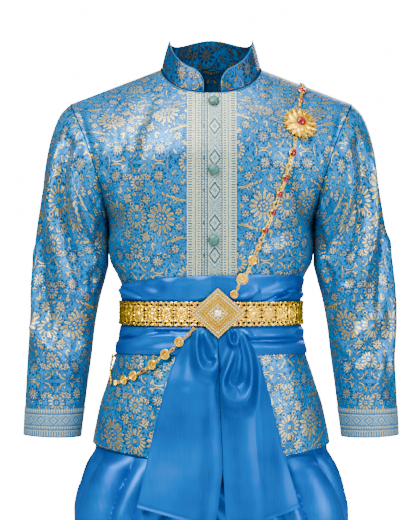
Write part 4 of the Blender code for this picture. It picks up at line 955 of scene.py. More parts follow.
# The collar's is painted deeper as painted shade from the neck, and its figures are a tenth larger
COLLAR_BROCADE_PAINTED_SHADE = brocade(
    "collar_silk_brocade_painted_shade", "#005e98", "#00406e", "#001c3a", "#3a3014", "#786a34", "#52441c", 0.9
)
GOLD_BORDER = woven_gold(
    "woven_gold_border",
    0,
    1,
    [
        (1.4, "p"), (8.2, "r"), (9.8, "p"), (14.4, "s"), (16.0, "p"), (19.6, "b"), (21.4, "p"),
        (23.2, "d"), (25.0, "b"), (42.0, "l"), (43.6, "p"), (45.6, "d"), (47.4, "b"), (48.2, "p"),
        # The last dark band lies along the front's opening edge: painted shadow of the opening
        (50.0, "d"),
    ],
    (33.6, 9.4, 13.0, 50.0, -81.0),
    "#86905e",
    "#c4cca2",
    "#2280b0",
    "#08263a",
)
GOLD_CUFF = woven_gold(
    "woven_gold_cuff",
    1,
    0,
    [
        (2.0, "d"), (9.6, "r"), (11.0, "p"), (13.4, "d"), (16.0, "b"), (17.4, "p"), (19.6, "d"),
        (34.0, "l"), (35.6, "p"), (38.4, "d"), (41.4, "b"), (42.8, "p"), (48.0, "r"), (49.0, "d"),
    ],
    (26.8, 7.2, 8.0, 20.0, 0.0),
    "#8c8e56",
    "#bcbc86",
    "#1a7cb0",
    "#0c4c7a",
    0.7,
)
PIPING = satin("satin_cord", "#3c7cac", "#1c4c78", "#7cb0dc")
# The seam cords are painted near black, as painted shadow in the seams
SEAM_PAINTED_SHADOW = satin("seam_cord_painted_shadow", "#06264a", "#031428", "#204a80")
SATIN = satin("polyester_satin", "#005cb0", "#004490", "#20b8ff")
# The tails' satin is painted deeper as painted shade, and less glossy where it hangs straight than in folds
TAIL_SATIN_PAINTED_SHADE = satin("polyester_satin_hanging_painted_shade", "#004a92", "#003a7a", "#0080d0", 0.55)
GILT = cast_gilt("gilded_brass_cast", "#ffc40a", "#945804", 0.2)
# Small links and rays keep more painted shade between their worn edges, the stones' settings hardly any
LINK_GILT = cast_gilt("gilded_brass_links", "#ffcc10", "#6e4404", 0.26, (0.44, 0.55))
# Dark brass for the belt's backs and cells and the brooch's back plate: painted shadow
PAINTED_SHADOW_BRASS = cast_gilt("brass_recess_painted_shadow", "#4a2e08", "#1e1202", 0.5)
BUCKLE_GILT = cast_gilt("gilded_brass_settings", "#ffdc40", "#d8a428", 0.28)
# Darker brass for the buckle's grooves: painted shade
BUCKLE_PAINTED_SHADE = cast_gilt("brass_groove_painted_shade", "#d8b038", "#a07820", 0.4)
RUBY = cut_stone("ruby_glass_cabochon", "#9c0010", "#400004", 0.0, 1.5, 0.16)
STONE = cut_stone("clear_paste_stone", "#ffffff", "#f8ecc8", 0.2, 1.62, 0.08)
JADE = pressed_jade("pressed_jade_resin", "#2f665c", "#16403a")


# Jacket


def armhole(share):
    """x and z of the armhole seam, from the underarm (0) to the shoulder point (1)."""
    return between(ARMHOLE, share, "x"), between(ARMHOLE, share, "height")


LOW_ROWS, UPPER_ROWS = 66, 44  # below the underarm and above it
NECK_ROW = 28  # the upper row that meets the neckline
HEM_CURVE = (-540.0, 44.0, 5.0)  # where the hem begins to curve, over what depth, and how far its sides rise
FADE_COLUMNS = 7  # creases fade out over so many columns at a seam


def panel(lead, side, columns):
    """Half a jacket panel. Each row runs from its edge near the middle to the side seam or the armhole, at
    even angles round the rounded section, and its height goes evenly from one end's to the other's."""
    edge = lead[0]
    low = np.linspace(HEM, UNDERARM, LOW_ROWS + 1)[:-1]
    at_hem = step((HEM_CURVE[0] - low) / HEM_CURVE[1])
    reach = between(BODY, low, "half_width")
    ends = [np.full(LOW_ROWS, edge), low - HEM_DIP * at_hem, reach, low + HEM_CURVE[2] * at_hem]
    start = float(np.degrees(np.arcsin(power(edge / NECK_WIDTH, NECK_SQUARE / 2))))
    first = start if side < 0 else 180.0 - start
    share = np.arange(UPPER_ROWS + 1) / UPPER_ROWS
    past_neck = np.clip((share * UPPER_ROWS - NECK_ROW) / (UPPER_ROWS - NECK_ROW), 0, 1)
    neckline = neck_point(first + (89.0 - first) * past_neck)
    rise = np.clip(share * UPPER_ROWS / NECK_ROW, 0, 1)
    z = np.where(rise < 1, UNDERARM + (neckline[0, 2] - UNDERARM) * rise, neckline[:, 2])
    x = np.where(rise < 1, edge, neckline[:, 0])
    ends = np.concatenate([np.stack(ends, 1), np.stack([x, z, *armhole(share)], 1)])
    reach = between(BODY, ends[:, 3], "half_width")[:, None]
    near = np.arcsin(power((ends[:, :1] + np.array(lead) - edge) / reach, SQUARE / 2))
    last = np.arcsin(np.clip(power(ends[:, 2:3] / reach, SQUARE / 2), 0, 1))
    rest = near[:, -1:] + (last - near[:, -1:]) * np.linspace(0, 1, columns)[1:]
    spread = power(np.sin(np.concatenate([near, rest], axis=1)), 2 / SQUARE)
    across = (spread - spread[:, :1]) / (spread[:, -1:] - spread[:, :1])
    x = ends[:, :1] + (ends[:, 2:3] - ends[:, :1]) * across
    z = ends[:, 1:2] + (ends[:, 3:4] - ends[:, 1:2]) * across
    return stack(x, form_y(x, z, side), z)


def crease(grid, rows):
    """The panel with its creases, which fade out at the side seam and the armhole, and a little fullness
    under the arm."""
    fade = np.ones(grid.shape[1])
    fade[-FADE_COLUMNS:] = 1 - np.linspace(0, 1, FADE_COLUMNS) ** 2
    height = folds(grid[..., 0], grid[..., 2], rows) * fade
    side = np.abs(grid[..., 0]) / between(BODY, grid[..., 2], "half_width")
    full = curve(grid[..., 2], (-330, -290, -262, -236, -215), (0, 2.0, 1.7, 0.9, 0))
    return grid + outward(grid) * (height + full * step((side - 0.75) / 0.2))[..., None]


def panel_cut(grid, start, level):
    """Places on the flat cloth: the way along each row from the border, and up each column from the level."""
    across = travel(grid, 1) + grid[:, :1, 0] - start
    up = travel(grid, 0)
    low = slice(LOW_ROWS + 26)  # the rows that every column's level lies in
    height = [np.interp(level, grid[low, j, 2], up[low, j]) for j in range(up.shape[1])]
    return stack(across, up - np.stack(height))


def neck_height(x):
    """Height of the neckline above x, on the front."""
    angle = np.linspace(0, 88, 60)
    points = neck_point(angle)
    return np.interp(np.abs(x), points[:, 0], points[:, 2])


def border(name, x, sign, rows):
    """A woven gold strip up the front's edge, on the panel and with its creases, clipped by the neckline."""
    share = np.linspace(0, 1, 150)[:, None]
    bottom = HEM - HEM_DIP + 0.4
    z = bottom + (neck_height(x * sign) - 1.2 - bottom) * share
    y = form_y(x * sign, z, -1, 0.8) - folds(x, z, rows)
    uv = stack(x[-1] - x, z)
    piece = shell(name, stack(x * sign, y, z), uv, 0.7)
    complete(piece, GOLD_BORDER)
    declare(uv)


def make_jacket():
    """The two fronts, the back, and the woven borders. It gives the armholes' edges."""
    edges = {}
    left_lead = np.concatenate([np.linspace(OVERLAP_EDGE, 10, 8), np.linspace(12, 39, 10)])
    right_lead = np.concatenate([[UNDERLAP_EDGE], np.linspace(10.8, 39, 12)])
    for name, sign, lead, rows, edge, level in (
        ("left", 1, left_lead, LEFT_CREASES, BORDER[0], -117),
        ("right", -1, right_lead, RIGHT_CREASES, BORDER[1], -137),
    ):
        grid = crease(panel(lead, -1, 62), rows)
        if name == "right":
            under = UNDERLAP * (1 - step((grid[..., 0] - 10.5) / 2.0))
            grid = grid - outward(grid) * under[..., None]
        uv = panel_cut(grid, edge, level)
        grid = grid * np.array([sign, 1, 1])
        piece = shell(f"front_{name}_cloth", grid, uv)
        complete(piece, BROCADE, f"jacket_front_{name}")
        declare(uv)
        edges[name] = grid[LOW_ROWS:, -1]
    half = panel((0.0,), 1, 66)
    columns = half.shape[1]
    grid = np.concatenate([mirror(half)[:, ::-1], half], axis=1)
    to_side = np.minimum(np.arange(2 * columns), np.arange(2 * columns)[::-1])
    grid = grid + (crease(grid, BACK_CREASES) - grid) * step(to_side / 6)[:, None]
    # Up to the neckline the two halves meet in one column of points, and above it they lie apart
    joined, middle = slice(LOW_ROWS + NECK_ROW + 1), slice(columns - 1, columns + 1)
    grid[joined, middle] = grid[joined, middle].mean(axis=1, keepdims=True)
    number = np.arange(grid.shape[0] * 2 * columns).reshape(grid.shape[0], -1)
    number[joined, columns] = number[joined, columns - 1]
    cut = panel_cut(half, 0, -127)
    uv = np.concatenate([(cut * [-1, 1])[:, ::-1], cut], axis=1)
    back = shell("back_cloth", grid, uv, number=number, apart=columns - 1)
    complete(back, BROCADE, "jacket_back")
    declare(uv)
    edges["left_back"] = grid[LOW_ROWS:, -1]
    edges["right_back"] = grid[LOW_ROWS:, 0]
    border("border_left", np.linspace(OVERLAP_EDGE, BORDER[0], 26), 1, LEFT_CREASES)
    border("border_right", np.linspace(10.9, BORDER[1], 18), -1, RIGHT_CREASES)
    return edges


# Sleeves

SLEEVE_RINGS = 116
CUFF = 48.5  # how deep the woven cuffs are


def sleeve_form(loop):
    """Rings that turn from the armhole's shape into ovals round the arm, and how far down each lies: a
    place in the armhole is its share along and across the first oval and a rest, and the rest goes while
    the shares become the cosine and sine of an even turn."""
    count = len(loop)
    turn = 2 * np.pi * np.arange(count) / count
    share = np.linspace(0, 1, SLEEVE_RINGS) ** 1.15
    at = np.linspace(0, 1, len(SLEEVE["outer_x"]))
    size = {column: curve(share, at, values) for column, values in SLEEVE.items()}
    outer = np.stack([size["outer_x"], size["middle"], size["outer_z"]], -1)
    inner = np.stack([size["inner_x"], size["middle"], size["inner_z"]], -1)
    middle, reach = (outer + inner) / 2, (outer - inner) / 2
    away = loop - middle[0]
    long_share = away @ reach[0] / (reach[0] @ reach[0])
    deep_share = -away[:, 1] / size["half_depth"][0]
    rest = away - long_share[:, None] * reach[0]
    rest[:, 1] += deep_share * size["half_depth"][0]
    blend = step(share * 14 / 5)[:, None]
    across = long_share * (1 - blend) + np.cos(turn) * blend
    forward = deep_share * (1 - blend) + np.sin(turn) * blend
    grid = middle[:, None] + across[..., None] * reach[:, None] + rest * (1 - blend)[..., None]
    grid[..., 1] -= forward * size["half_depth"][:, None]
    return grid, turn, travel(middle[:, None], 0)[:, 0]


def make_sleeve(name, sign, front, back, rows):
    """A sleeve with its creases and its fullness at the shoulder and under the arm, its woven cuff, and
    the cord of its armhole seam, painted near black as painted shadow."""
    flip = np.array([sign, 1, 1])
    loop = np.concatenate([front[::-1], back[1:-1]]) * flip
    count = len(loop)
    grid, turn, down = sleeve_form(loop)
    round_arm = np.degrees(turn)
    round_arm = np.where(round_arm > 180, round_arm - 360, round_arm) * 1.1  # millimetres, 1.1 to a degree
    # Creases come in over the first 26 mm and go out above the cuff
    ramp = step(down / 26) * step((down[-1] - 40 - down) / 50)
    height = folds(round_arm, down[:, None], rows) + folds(round_arm - 396, down[:, None], rows)
    # The cloth is fuller under the arm for 130 mm, and all round the sleeve's head 16 mm below the seam
    full = curve(down, (4, 20, 40, 66, 96, 130), (0, 2.8, 3.2, 2.8, 2.2, 0))[:, None]
    full = full * step((-np.cos(turn) - 0.6) / 0.3)
    head = 2.6 * np.exp(-(((down - 16) / 11) ** 2))[:, None]
    puff = full + head * step((np.abs(np.sin(turn)) - 0.1) / 0.4)
    grid = grid + outward(grid, True) * (height * ramp[:, None] + puff)[..., None]
    across = SLEEVE["outer_z"][0] - SLEEVE["inner_z"][0], 0, SLEEVE["inner_x"][0] - SLEEVE["outer_x"][0]
    grid[0] += 0.12 * unit(np.array(across))
    grid = np.roll(grid, count // 2, axis=1)
    wrapped = np.concatenate([grid, grid[:, :1]], axis=1)
    round_way = travel(wrapped, 1)
    uv = stack(round_way - round_way[:, count // 2, None], -down[:, None])
    grid = grid * flip
    piece = shell(f"sleeve_{name}_cloth", grid, uv, closed=True)
    complete(piece, BROCADE, f"sleeve_{name}")
    declare(uv)
    # The seam's cord is painted near black, as painted shadow
    seam = add_mesh(f"armhole_seam_{name}", *tube(loop * flip, 0.8, 6, closed=True))
    complete(seam, SEAM_PAINTED_SHADOW)
    end = slice(int((down < down[-1] - CUFF).sum()), SLEEVE_RINGS)
    band = grid[end] + outward(grid, True)[end] * 0.9
    band[-1] += (band[-1] - band[-2]) * 0.05
    cuff_uv = stack(uv[end][..., 0], (down[-1] - down[end])[:, None])
    cuff = shell(f"cuff_{name}", band, cuff_uv, 0.8, closed=True)
    complete(cuff, GOLD_CUFF)
    declare(cuff_uv)


# Collar

COLLAR_ENDS = (8.2, 354)  # angles of its two ends round the neck, from the front by the wearer's left
COLLAR_RISE = table("angle height", (0, 34), (60, 41), (95, 45), (180, 45), (265, 45), (300, 41), (360, 34))
COLLAR_TALL, COLLAR_LEAN = 45.0, (0.845, 0.87)  # what is left of the half width and depth at that height
COLLAR_CORNER = 22.0  # radius of its rounded ends
COLLAR_ROWS = 22


def make_collar():
    """A stand collar on the neckline, leaning in, with rounded ends, a corded edge and a seam at its foot
    whose cord is painted near black as painted shadow.
    """
    first, last = COLLAR_ENDS
    t = np.linspace(0, 1, 220)
    ease = t - 0.9 * np.sin(2 * np.pi * t) / (2 * np.pi)
    angle = first + (last - first) * ease
    base = neck_point(angle)
    base[:, 2] += 0.3
    height = between(COLLAR_RISE, angle, "height")
    length = travel(base[None], 1)[0]
    from_end = np.minimum(length, length[-1] - length)
    square = np.clip(COLLAR_CORNER**2 - (COLLAR_CORNER - from_end).clip(0) ** 2, 0, None)
    height = height - (COLLAR_CORNER - np.sqrt(square))
    top = base.copy()
    top[:, 0] = base[:, 0] * (1 - (1 - COLLAR_LEAN[0]) * height / COLLAR_TALL)
    top[:, 1] = NECK_Y - 2 + (base[:, 1] - NECK_Y) * (1 - (1 - COLLAR_LEAN[1]) * height / COLLAR_TALL)
    top[:, 2] += height
    share = np.linspace(0, 1, COLLAR_ROWS)[:, None, None]
    grid = base * (1 - share) + top * share
    away = unit((base - [0, NECK_Y, 0]) * [1, 1, 0])
    grid = grid + away * (0.9 * np.sin(np.pi * share) + 0.5)
    uv = stack(length, share[..., 0] * height)
    collar = shell("collar_cloth", grid, uv, 2.2)
    complete(collar, COLLAR_BROCADE_PAINTED_SHADE, "collar")
    declare(uv)
    edge = np.concatenate([grid[:, 0], grid[-1, 1:-1], grid[::-1, -1]])
    ends = np.repeat(away[:1], COLLAR_ROWS, 0), away[1:-1], np.repeat(away[-1:], COLLAR_ROWS, 0)
    foot = tube(base + away * 1.7 + [0, 0, -0.7], 0.75, 6)
    piping = add_mesh("collar_piping", *merge([tube(edge - np.concatenate(ends), 0.9, 6), foot]))
    complete(piping, PIPING)
    # The seam's cord is painted near black, as painted shadow
    seam = add_mesh("collar_seam", *merge([tube(base + away * 1.1 + [0, 0, 1.0], 1.1, 6)]))
    complete(seam, SEAM_PAINTED_SHADOW)


# Small parts as (points, faces)


def merge(parts):
    """Several (points, list of faces) as one."""
    points, faces, count = [], {3: [], 4: []}, 0
    for at, lists in parts:
        points.append(at)
        for part in lists:
            faces[part.shape[1]].append(part + count)
        count += len(at)
    return np.concatenate(points), [np.concatenate(found) for found in faces.values() if found]


def rings_body(rings, closed=False):
    """A body of closed rings in a row, as (points, faces). A closed one joins its last ring to its first."""
    count, sides = rings.shape[:2]
    i, j = np.indices((count if closed else count - 1, sides)).reshape(2, -1)
    here, ahead, after = i * sides, (i + 1) % count * sides, (j + 1) % sides
    quads = np.stack([here + j, here + after, ahead + after, ahead + j], 1)
    points = rings.reshape(-1, 3)
    faces = [quads]
    if not closed:
        first, last = np.arange(sides), np.arange(sides) + (count - 1) * sides
        middle = np.full(sides, len(points))
        points = np.concatenate([points, rings[[0, -1]].mean(axis=1)])
        faces.append(np.stack([middle, np.roll(first, -1), first], 1))
        faces.append(np.stack([middle + 1, last, np.roll(last, -1)], 1))
    triangles = np.concatenate([quads[:, :3], quads[:, [0, 2, 3]]] + faces[1:])
    a, b, c = (points[triangles[:, k]] - points.mean(axis=0) for k in range(3))
    if (np.cross(a, b) * c).sum() < 0:
        faces = [part[:, ::-1] for part in faces]
    return points, faces


def tube(path, radius, sides=8, closed=False):
    """A round cord along a path: rings square to it, each turned as little as can be from the one before."""
    ahead = np.roll(path, -1, 0) - np.roll(path, 1, 0) if closed else np.gradient(path, axis=0)
    ahead = unit(ahead)
    up = np.where(np.abs(ahead[:, 2:3]) > 0.95, [[1.0, 0, 0]], [[0, 0, 1.0]])
    across = unit(np.cross(ahead, up))
    for k in range(1, len(path)):
        side = across[k - 1] - (across[k - 1] @ ahead[k]) * ahead[k]
        across[k] = side / np.linalg.norm(side)
    over = np.cross(across, ahead)
    turn = 2 * np.pi * np.arange(sides)[:, None] / sides
    ways = np.cos(turn) * across[:, None] + np.sin(turn) * over[:, None]
    return rings_body(path[:, None] + radius * ways, closed)


def seat(x, z, out=0.0):
    """A place on the jacket's front with its own ways across, up and out, as four rows."""
    reach = 5.0
    left, right, below, above = (
        float(form_y(x + dx, z + dz, -1)) for dx, dz in ((-reach, 0), (reach, 0), (0, -reach), (0, reach))
    )
    across = unit(np.array([2 * reach, right - left, 0]))
    outside = unit(np.cross(across, np.array([0, above - below, 2 * reach])))
    here = np.array([x, float(form_y(x, z, -1, out)), z])
    return np.array([here, across, np.cross(outside, across), outside])


def placed(part, seat_rows):
    """A part made about its own z axis, set in a seat of (place, across, up, out)."""
    points, faces = part
    return seat_rows[0] + points @ seat_rows[1:], faces


def circle_of(part, count, radius, height, shift=0.0):
    """Copies of a part at even angles round the z axis, the first at a share of the space between two."""
    points, faces = part
    turn = [2 * np.pi * (k + shift) / count for k in range(count)]
    return [(points + [radius * np.cos(way), radius * np.sin(way), height], faces) for way in turn]


def turned(profile, sides, squash=1.0, flute=None):
    """A body turned about z from (radius, height) rows; squash narrows it across, flute gives its lobes."""
    radius, height = np.array(profile, float).T[..., None]
    angle = 2 * np.pi * np.arange(sides) / sides
    lobes = 1.0 if flute is None else 1 - flute[1] * np.abs(np.sin(angle * flute[0] / 2))
    return rings_body(stack(radius * np.cos(angle) * squash * lobes, radius * np.sin(angle) * lobes, height))


def ring(radius, thick, squash=1.0, sides=16):
    """A wire ring lying flat, squashed across."""
    angle = 2 * np.pi * np.arange(sides) / sides
    path = stack(radius * squash * np.cos(angle), radius * np.sin(angle), thick)
    return tube(path, thick, 6, closed=True)


# Sash

SASH_LOW, SASH_TOP = -436.0, -325.0  # mean heights of its two edges


def sash_edges(angle):
    """Heights of the sash's lower and upper edge round the body, higher in front, and on the left above."""
    turn = np.radians(angle)
    return SASH_LOW + 2 * np.cos(turn), SASH_TOP + 13 * np.cos(turn) + 6 * np.sin(turn)


def make_sash():
    """The sash round the waist: pressed flat under the belt, full above and below it, its folds drawn to
    the knot, with the cloth's loose end folded under along an upright line in front."""
    angle = np.arange(0, 360, 1.2)
    lower, upper = sash_edges(angle)
    share = np.linspace(0, 1, 84)[:, None]
    z = lower + (upper - lower) * share
    base = around(angle, z, 1.0)
    x, front = base[..., 0], np.cos(np.radians(angle)) * 4
    # Full only beyond 8 mm from the belt, and drawn in over the last 7 mm to each edge
    puff = 1 - step((BELT_HALF + 8 - np.abs(z - BELT_Z)) / 8)
    edge = step(np.minimum(z - lower, upper - z) / 7)
    soft = folds(x, z, SASH_FRONT) * step(front) + folds(x, z, SASH_BACK) * step(-front)
    # The loose end steps up at x -10 above the belt and thins out from x 30; both edges are rolled
    lap = 1.5 * step((x + 10) / 1.2) * (1 - step((x - 30) / 60)) * step(front) * step((z + 352) / 8)
    roll = 0.7 * np.exp(-(((z - lower - 2.5) / 2.2) ** 2)) + 0.7 * np.exp(-(((upper - z - 2.5) / 2.2) ** 2))
    out = 2.4 + puff * np.maximum(edge * (1.1 * soft + 1.8), -1.2) + lap + roll
    grid = around(angle, z, out)
    wrapped = np.concatenate([grid, grid[:, :1]], axis=1)
    uv = stack(travel(wrapped, 1), np.concatenate([z, z[:, :1]], axis=1))
    sash = shell("sash_cloth", grid, uv, SATIN_WALL, closed=True)
    complete(sash, SATIN, "sash_wrap")
    declare(uv)


def tail_y(x, z, out=0.0):
    """y of the surface that the tails hang on: the sash, the jacket's skirt and the wrap below it."""
    half_width, depth = (between(TAIL_FORM, z, name) + out for name in ("half_width", "front"))
    return SEAM_Y - depth * section(x / half_width)


def make_tail(side, outer_side, rows, paths, opening, lowest, curl):
    """One hanging tail, from the split in the middle to its outer edge: long waves, the draped loops at
    its top, an inner edge that curls back beside the split, and a narrow turned hem."""
    share = np.linspace(0, 1, 180)[:, None]
    u = np.linspace(0, 1, 96)[None]
    columns = "split_x", "split_z", f"{outer_side}_outer_x", f"{outer_side}_outer_z"
    inner_x, inner_z, outer_x, outer_z = (between(TAIL, share, name) for name in columns)
    sign = np.sign(outer_x[-1, 0])
    inner_z = inner_z + (lowest - inner_z[-1]) * np.clip((share - 0.5) / 0.5, 0, 1)
    inner_x = inner_x + sign * 0.5
    # The inner edge swings away from the split below -610, and curls forward from -430 down
    inner_x = inner_x + opening * np.clip((-610 - inner_z) / 75, 0, 2)
    x = inner_x + (outer_x - inner_x) * u
    z = inner_z + (outer_z - inner_z) * u
    wave = 2.0 + curl * step((-430 - z) / 50) * (1 - np.exp(-(((x - inner_x) / (5 + 1.4 * curl)) ** 2)))
    drape = (folds(x, z, rows) + LOOP_HEIGHT * loops(x, z, paths)) * step((-392 - z) / 12)
    drop = travel(stack(0, z, 0), 0)
    to_hem = drop[-1] - drop
    to_side = (1 - u) * np.abs(outer_x - inner_x)
    # The turned hem stands up at both free edges, with a pressed line 4.5 mm above the lower one
    hem = 0.45 * np.exp(-((to_hem / 1.6) ** 2)) + 0.5 * np.exp(-((to_side / 1.8) ** 2))
    hem = hem - 0.4 * np.exp(-(((to_hem - 4.5) / 1.2) ** 2))
    grid = stack(x, tail_y(x, z, wave + 1.0 + np.maximum(drape, -wave) + hem), z)
    uv = stack(travel(grid, 1) * sign, z)
    tail = shell(f"sash_tail_{side}_cloth", grid, uv, SATIN_WALL)
    complete(tail, TAIL_SATIN_PAINTED_SHADE, f"sash_tail_{side}")
    declare(uv)


# Belt and buckle

PLAQUES = 32
PLAQUE_SHARE = 0.475  # a plaque's half width, as a share of the space from one to the next
BELT_ENDS = 19.0  # how far the belt's ends lie from the buckle's middle
BELT_BACK, BELT_FACE = 4.6, 5.8  # how far its back and the ground of its front lie out from the jacket's form
# Open cells of one quarter of a plaque: millimetres out from its middle and up, and their radius
HOLES = table("x z radius", (0, 13.8, 1.8), (8.6, 13.4, 1.8), (11.2, 5.2, 1.1), (5.2, 9.6, 0.8))


def make_belt():
    """Linked gilt plaques, all the same: a raised diamond in a rosette, a beaded frame, scalloped edges,
    and small round cells left open with a rim round each, carried round the waist."""
    fine = np.linspace(0, 360, 2881)
    track = around(fine, BELT_Z, BELT_BACK)
    length = travel(track[None], 1)[0]
    start = np.interp(BUCKLE[0] + BELT_ENDS, track[:720, 0], length[:720])
    end = length[-1] - np.interp(BELT_ENDS - BUCKLE[0], track[:720, 0], length[:720])
    pitch = (end - start) / PLAQUES
    wide, tall = 25, 37
    u, t = np.meshgrid(np.linspace(-1, 1, wide), np.linspace(-1, 1, tall))
    dx, dz = u * pitch * PLAQUE_SHARE, t * BELT_HALF
    r, a = np.hypot(dx, dz), np.arctan2(dz, dx)
    relief = 2.6 * np.clip(1 - (np.abs(dx) + np.abs(dz)) / 3.6, 0, 1) ** 0.7
    relief = relief + 1.9 * np.exp(-(((r - 6.2) / 2.3) ** 2)) * (0.35 + 0.65 * np.abs(np.cos(4 * a)))
    relief = relief - 0.5 * np.exp(-(((r - 9.6) / 1.0) ** 2))
    relief = relief + 1.1 * np.exp(-(((np.abs(t) - 0.96) / 0.06) ** 2))
    relief = relief + 0.9 * np.exp(-(((np.abs(u) - 0.96) / 0.07) ** 2))
    hollow = np.zeros(r.shape)
    for x, z, radius in zip(*HOLES.values()):
        off = np.hypot(np.abs(dx) - x, np.abs(dz) - z)
        relief = relief + 1.2 * np.exp(-(((off - radius - 0.9) / 0.7) ** 2))
        hollow = np.maximum(hollow, radius - off)
    scallop = 1 + 0.07 * np.abs(np.cos(1.5 * np.pi * u)) * np.abs(t) ** 6
    inside = np.stack([hollow[:-1, :-1], hollow[:-1, 1:], hollow[1:, 1:], hollow[1:, :-1]]).mean(axis=0)
    i, j = np.nonzero(inside < 0.1)
    count = tall * wide
    number = np.arange(count).reshape(tall, wide)
    quads = np.stack([number[i, j], number[i, j + 1], number[i + 1, j + 1], number[i + 1, j]], 1)
    a, b = edge_ends(quads, open_edges(quads, count))
    one = np.concatenate([quads, quads[:, ::-1] + count, np.stack([b, a, a + count, b + count], 1)])
    k = np.arange(PLAQUES)[:, None, None]
    angle = np.interp(start + (k + 0.5 + PLAQUE_SHARE * u) * pitch, length, fine)
    z = BELT_Z + dz * scallop
    walls = around(angle, z, BELT_FACE + relief), around(angle, z, BELT_BACK)
    points = np.concatenate([wall.reshape(PLAQUES, -1, 3) for wall in walls], axis=1).reshape(-1, 3)
    belt = add_mesh("belt_plaques", points, [(one + 2 * count * k).reshape(-1, 4)])
    complete(belt, GILT, "belt")
    # The plaques' backs and the walls of their edges and open cells take the dark brass: painted shadow
    add_painted_shade_metal(belt, PAINTED_SHADOW_BRASS, np.tile(np.arange(len(one)) >= len(quads), PLAQUES))


def on_front(x, z, out):
    """Points on the jacket's front, moved forward."""
    return stack(x, form_y(x, z, -1) - out, z)


def rhombus(reach, count):
    """Points evenly round a rhombus with its corners on the axes, from its right corner."""
    side = np.arange(count) * 4 / count
    part = side % 1
    corners = np.array([[1, 0], [0, 1], [-1, 0], [0, -1], [1, 0]], float)
    at = side.astype(int)
    points = corners[at] * (1 - part)[:, None] + corners[at + 1] * part[:, None]
    return reach * points[:, 0], reach * points[:, 1]


def add_painted_shade_metal(piece, metal, low):
    """Gives a second, darker metal as painted shade to the faces of a piece that lie low in it: the first
    faces, where low is true.
    """
    piece.data.materials.append(metal)
    slots = np.zeros(len(piece.data.polygons), np.int32)
    slots[: len(low)] = low
    piece.data.polygons.foreach_set("material_index", slots)


WIDER = 1.1  # the rhombus is a tenth wider than it is tall
BUCKLE_LIFT = 9.6  # how far its back lies out from the jacket's form
BUCKLE_ROWS = table(
    "reach height count",
    (0.915, 1.6, 56),
    (0.765, 2.8, 46),
    (0.615, 4.0, 38),
    (0.465, 5.2, 28),
    (0.32, 6.2, 20),
)
BEAD_ROWS = (2, 3)  # these rows are gilt beads, the others stones


def make_buckle():
    """A stepped rhombus bent to the waist: rows of stones or of gilt beads, each in a bed between two gilt
    rims, with a groove of darker brass inside it as painted shade, and a large stone with eight round it."""
    x0, z0, half = BUCKLE
    # Reach as a share of the half diagonal, height, and whether the face inward of it takes the painted shade
    steps = [(0.6, -0.5, 0), (0.985, 0, 0)]
    for reach, height in zip(BUCKLE_ROWS["reach"], BUCKLE_ROWS["height"]):
        steps += [(reach + 0.07, height + 0.2, 0), (reach + 0.04, height + 1.2, 0)]
        steps += [(reach + 0.034, height - 0.5, 0), (reach - 0.034, height - 0.5, 0)]
        steps += [(reach - 0.036, height + 0.9, 1), (reach - 0.056, height + 0.9, 1)]
        steps += [(reach - 0.06, height - 1.4, 1), (reach - 0.074, height - 1.2, 0)]
    steps += [(0.235, 7.0, 0), (0.1, 7.4, 0)]
    sides = 96
    rings = []
    for reach, height, _ in steps:
        x, z = rhombus(reach * half, sides)
        rings.append(on_front(x0 + WIDER * x, z0 + z, BUCKLE_LIFT + height))
    plate = add_mesh("buckle_frames", *rings_body(np.array(rings)), sharp=30)
    complete(plate, BUCKLE_GILT, "buckle")
    # The low faces take the darker brass: painted shade in the grooves
    add_painted_shade_metal(plate, BUCKLE_PAINTED_SHADE, np.repeat([low for _, _, low in steps[:-1]], sides))
    stone = turned([(0.9, -0.6), (1.1, 0.4), (0.7, 1.2)], 6)
    stones, beads = [], []
    for k, (reach, height, count) in enumerate(zip(*BUCKLE_ROWS.values())):
        for x, z in zip(*rhombus(reach * half, int(count))):
            here = seat(x0 + WIDER * x, z0 + z, BUCKLE_LIFT + height)
            (beads if k in BEAD_ROWS else stones).append(placed(stone, here))
    complete(add_mesh("buckle_beads", *merge(beads), sharp=20), BUCKLE_GILT)
    for x, z in zip(*rhombus(0.2 * half, 8)):
        here = seat(x0 + WIDER * x, z0 + z, BUCKLE_LIFT + 7.3)
        stones.append(placed((stone[0] * 1.2, stone[1]), here))
    complete(add_mesh("buckle_stones", *merge(stones), sharp=20), STONE)
    middle = turned([(3.2, -1.0), (4.9, 0.4), (4.6, 1.2), (3.0, 2.2)], 10)
    centre = add_mesh("buckle_centre_stone", *placed(middle, seat(x0, z0, BUCKLE_LIFT + 7.6)), sharp=20)
    complete(centre, STONE, "buckle_stone")


# Chain and brooch

RING, LINK, RUBY_OVAL, MEDAL, FLOWER, RUBY_PAIR = range(6)  # the kinds of pieces
FRONT_CHAIN = table(
    "x z half_width half_length kind",
    (130.3, -101, 3.4, 4.4, RING),
    (129, -111.6, 2.6, 3.5, LINK),
    (126.2, -122.7, 5.9, 7.4, RUBY_OVAL),
    (119.3, -144, 4.6, 5.2, RING),
    (114.8, -161.7, 5.4, 6.2, RUBY_OVAL),
    (109, -177.5, 3.0, 4.2, LINK),
    (105.6, -186.8, 5.0, 5.6, RUBY_OVAL),
    (99.6, -201.5, 4.8, 5.2, RING),
    (95.7, -214.5, 5.0, 5.8, RUBY_OVAL),
    (91.4, -225.3, 3.0, 4.0, LINK),
    (83.4, -242.8, 5.0, 5.8, RUBY_OVAL),
    (77.4, -256.8, 4.8, 4.8, RING),
    (72.6, -268.4, 5.4, 5.0, FLOWER),
    (63.8, -288, 7.6, 7.6, MEDAL),
    (57.4, -303.4, 3.0, 4.4, LINK),
    (47.8, -317.1, 9.6, 9.6, MEDAL),
    (41.1, -330.7, 3.0, 3.8, LINK),
    (35.4, -341, 6.6, 6.4, MEDAL),
)
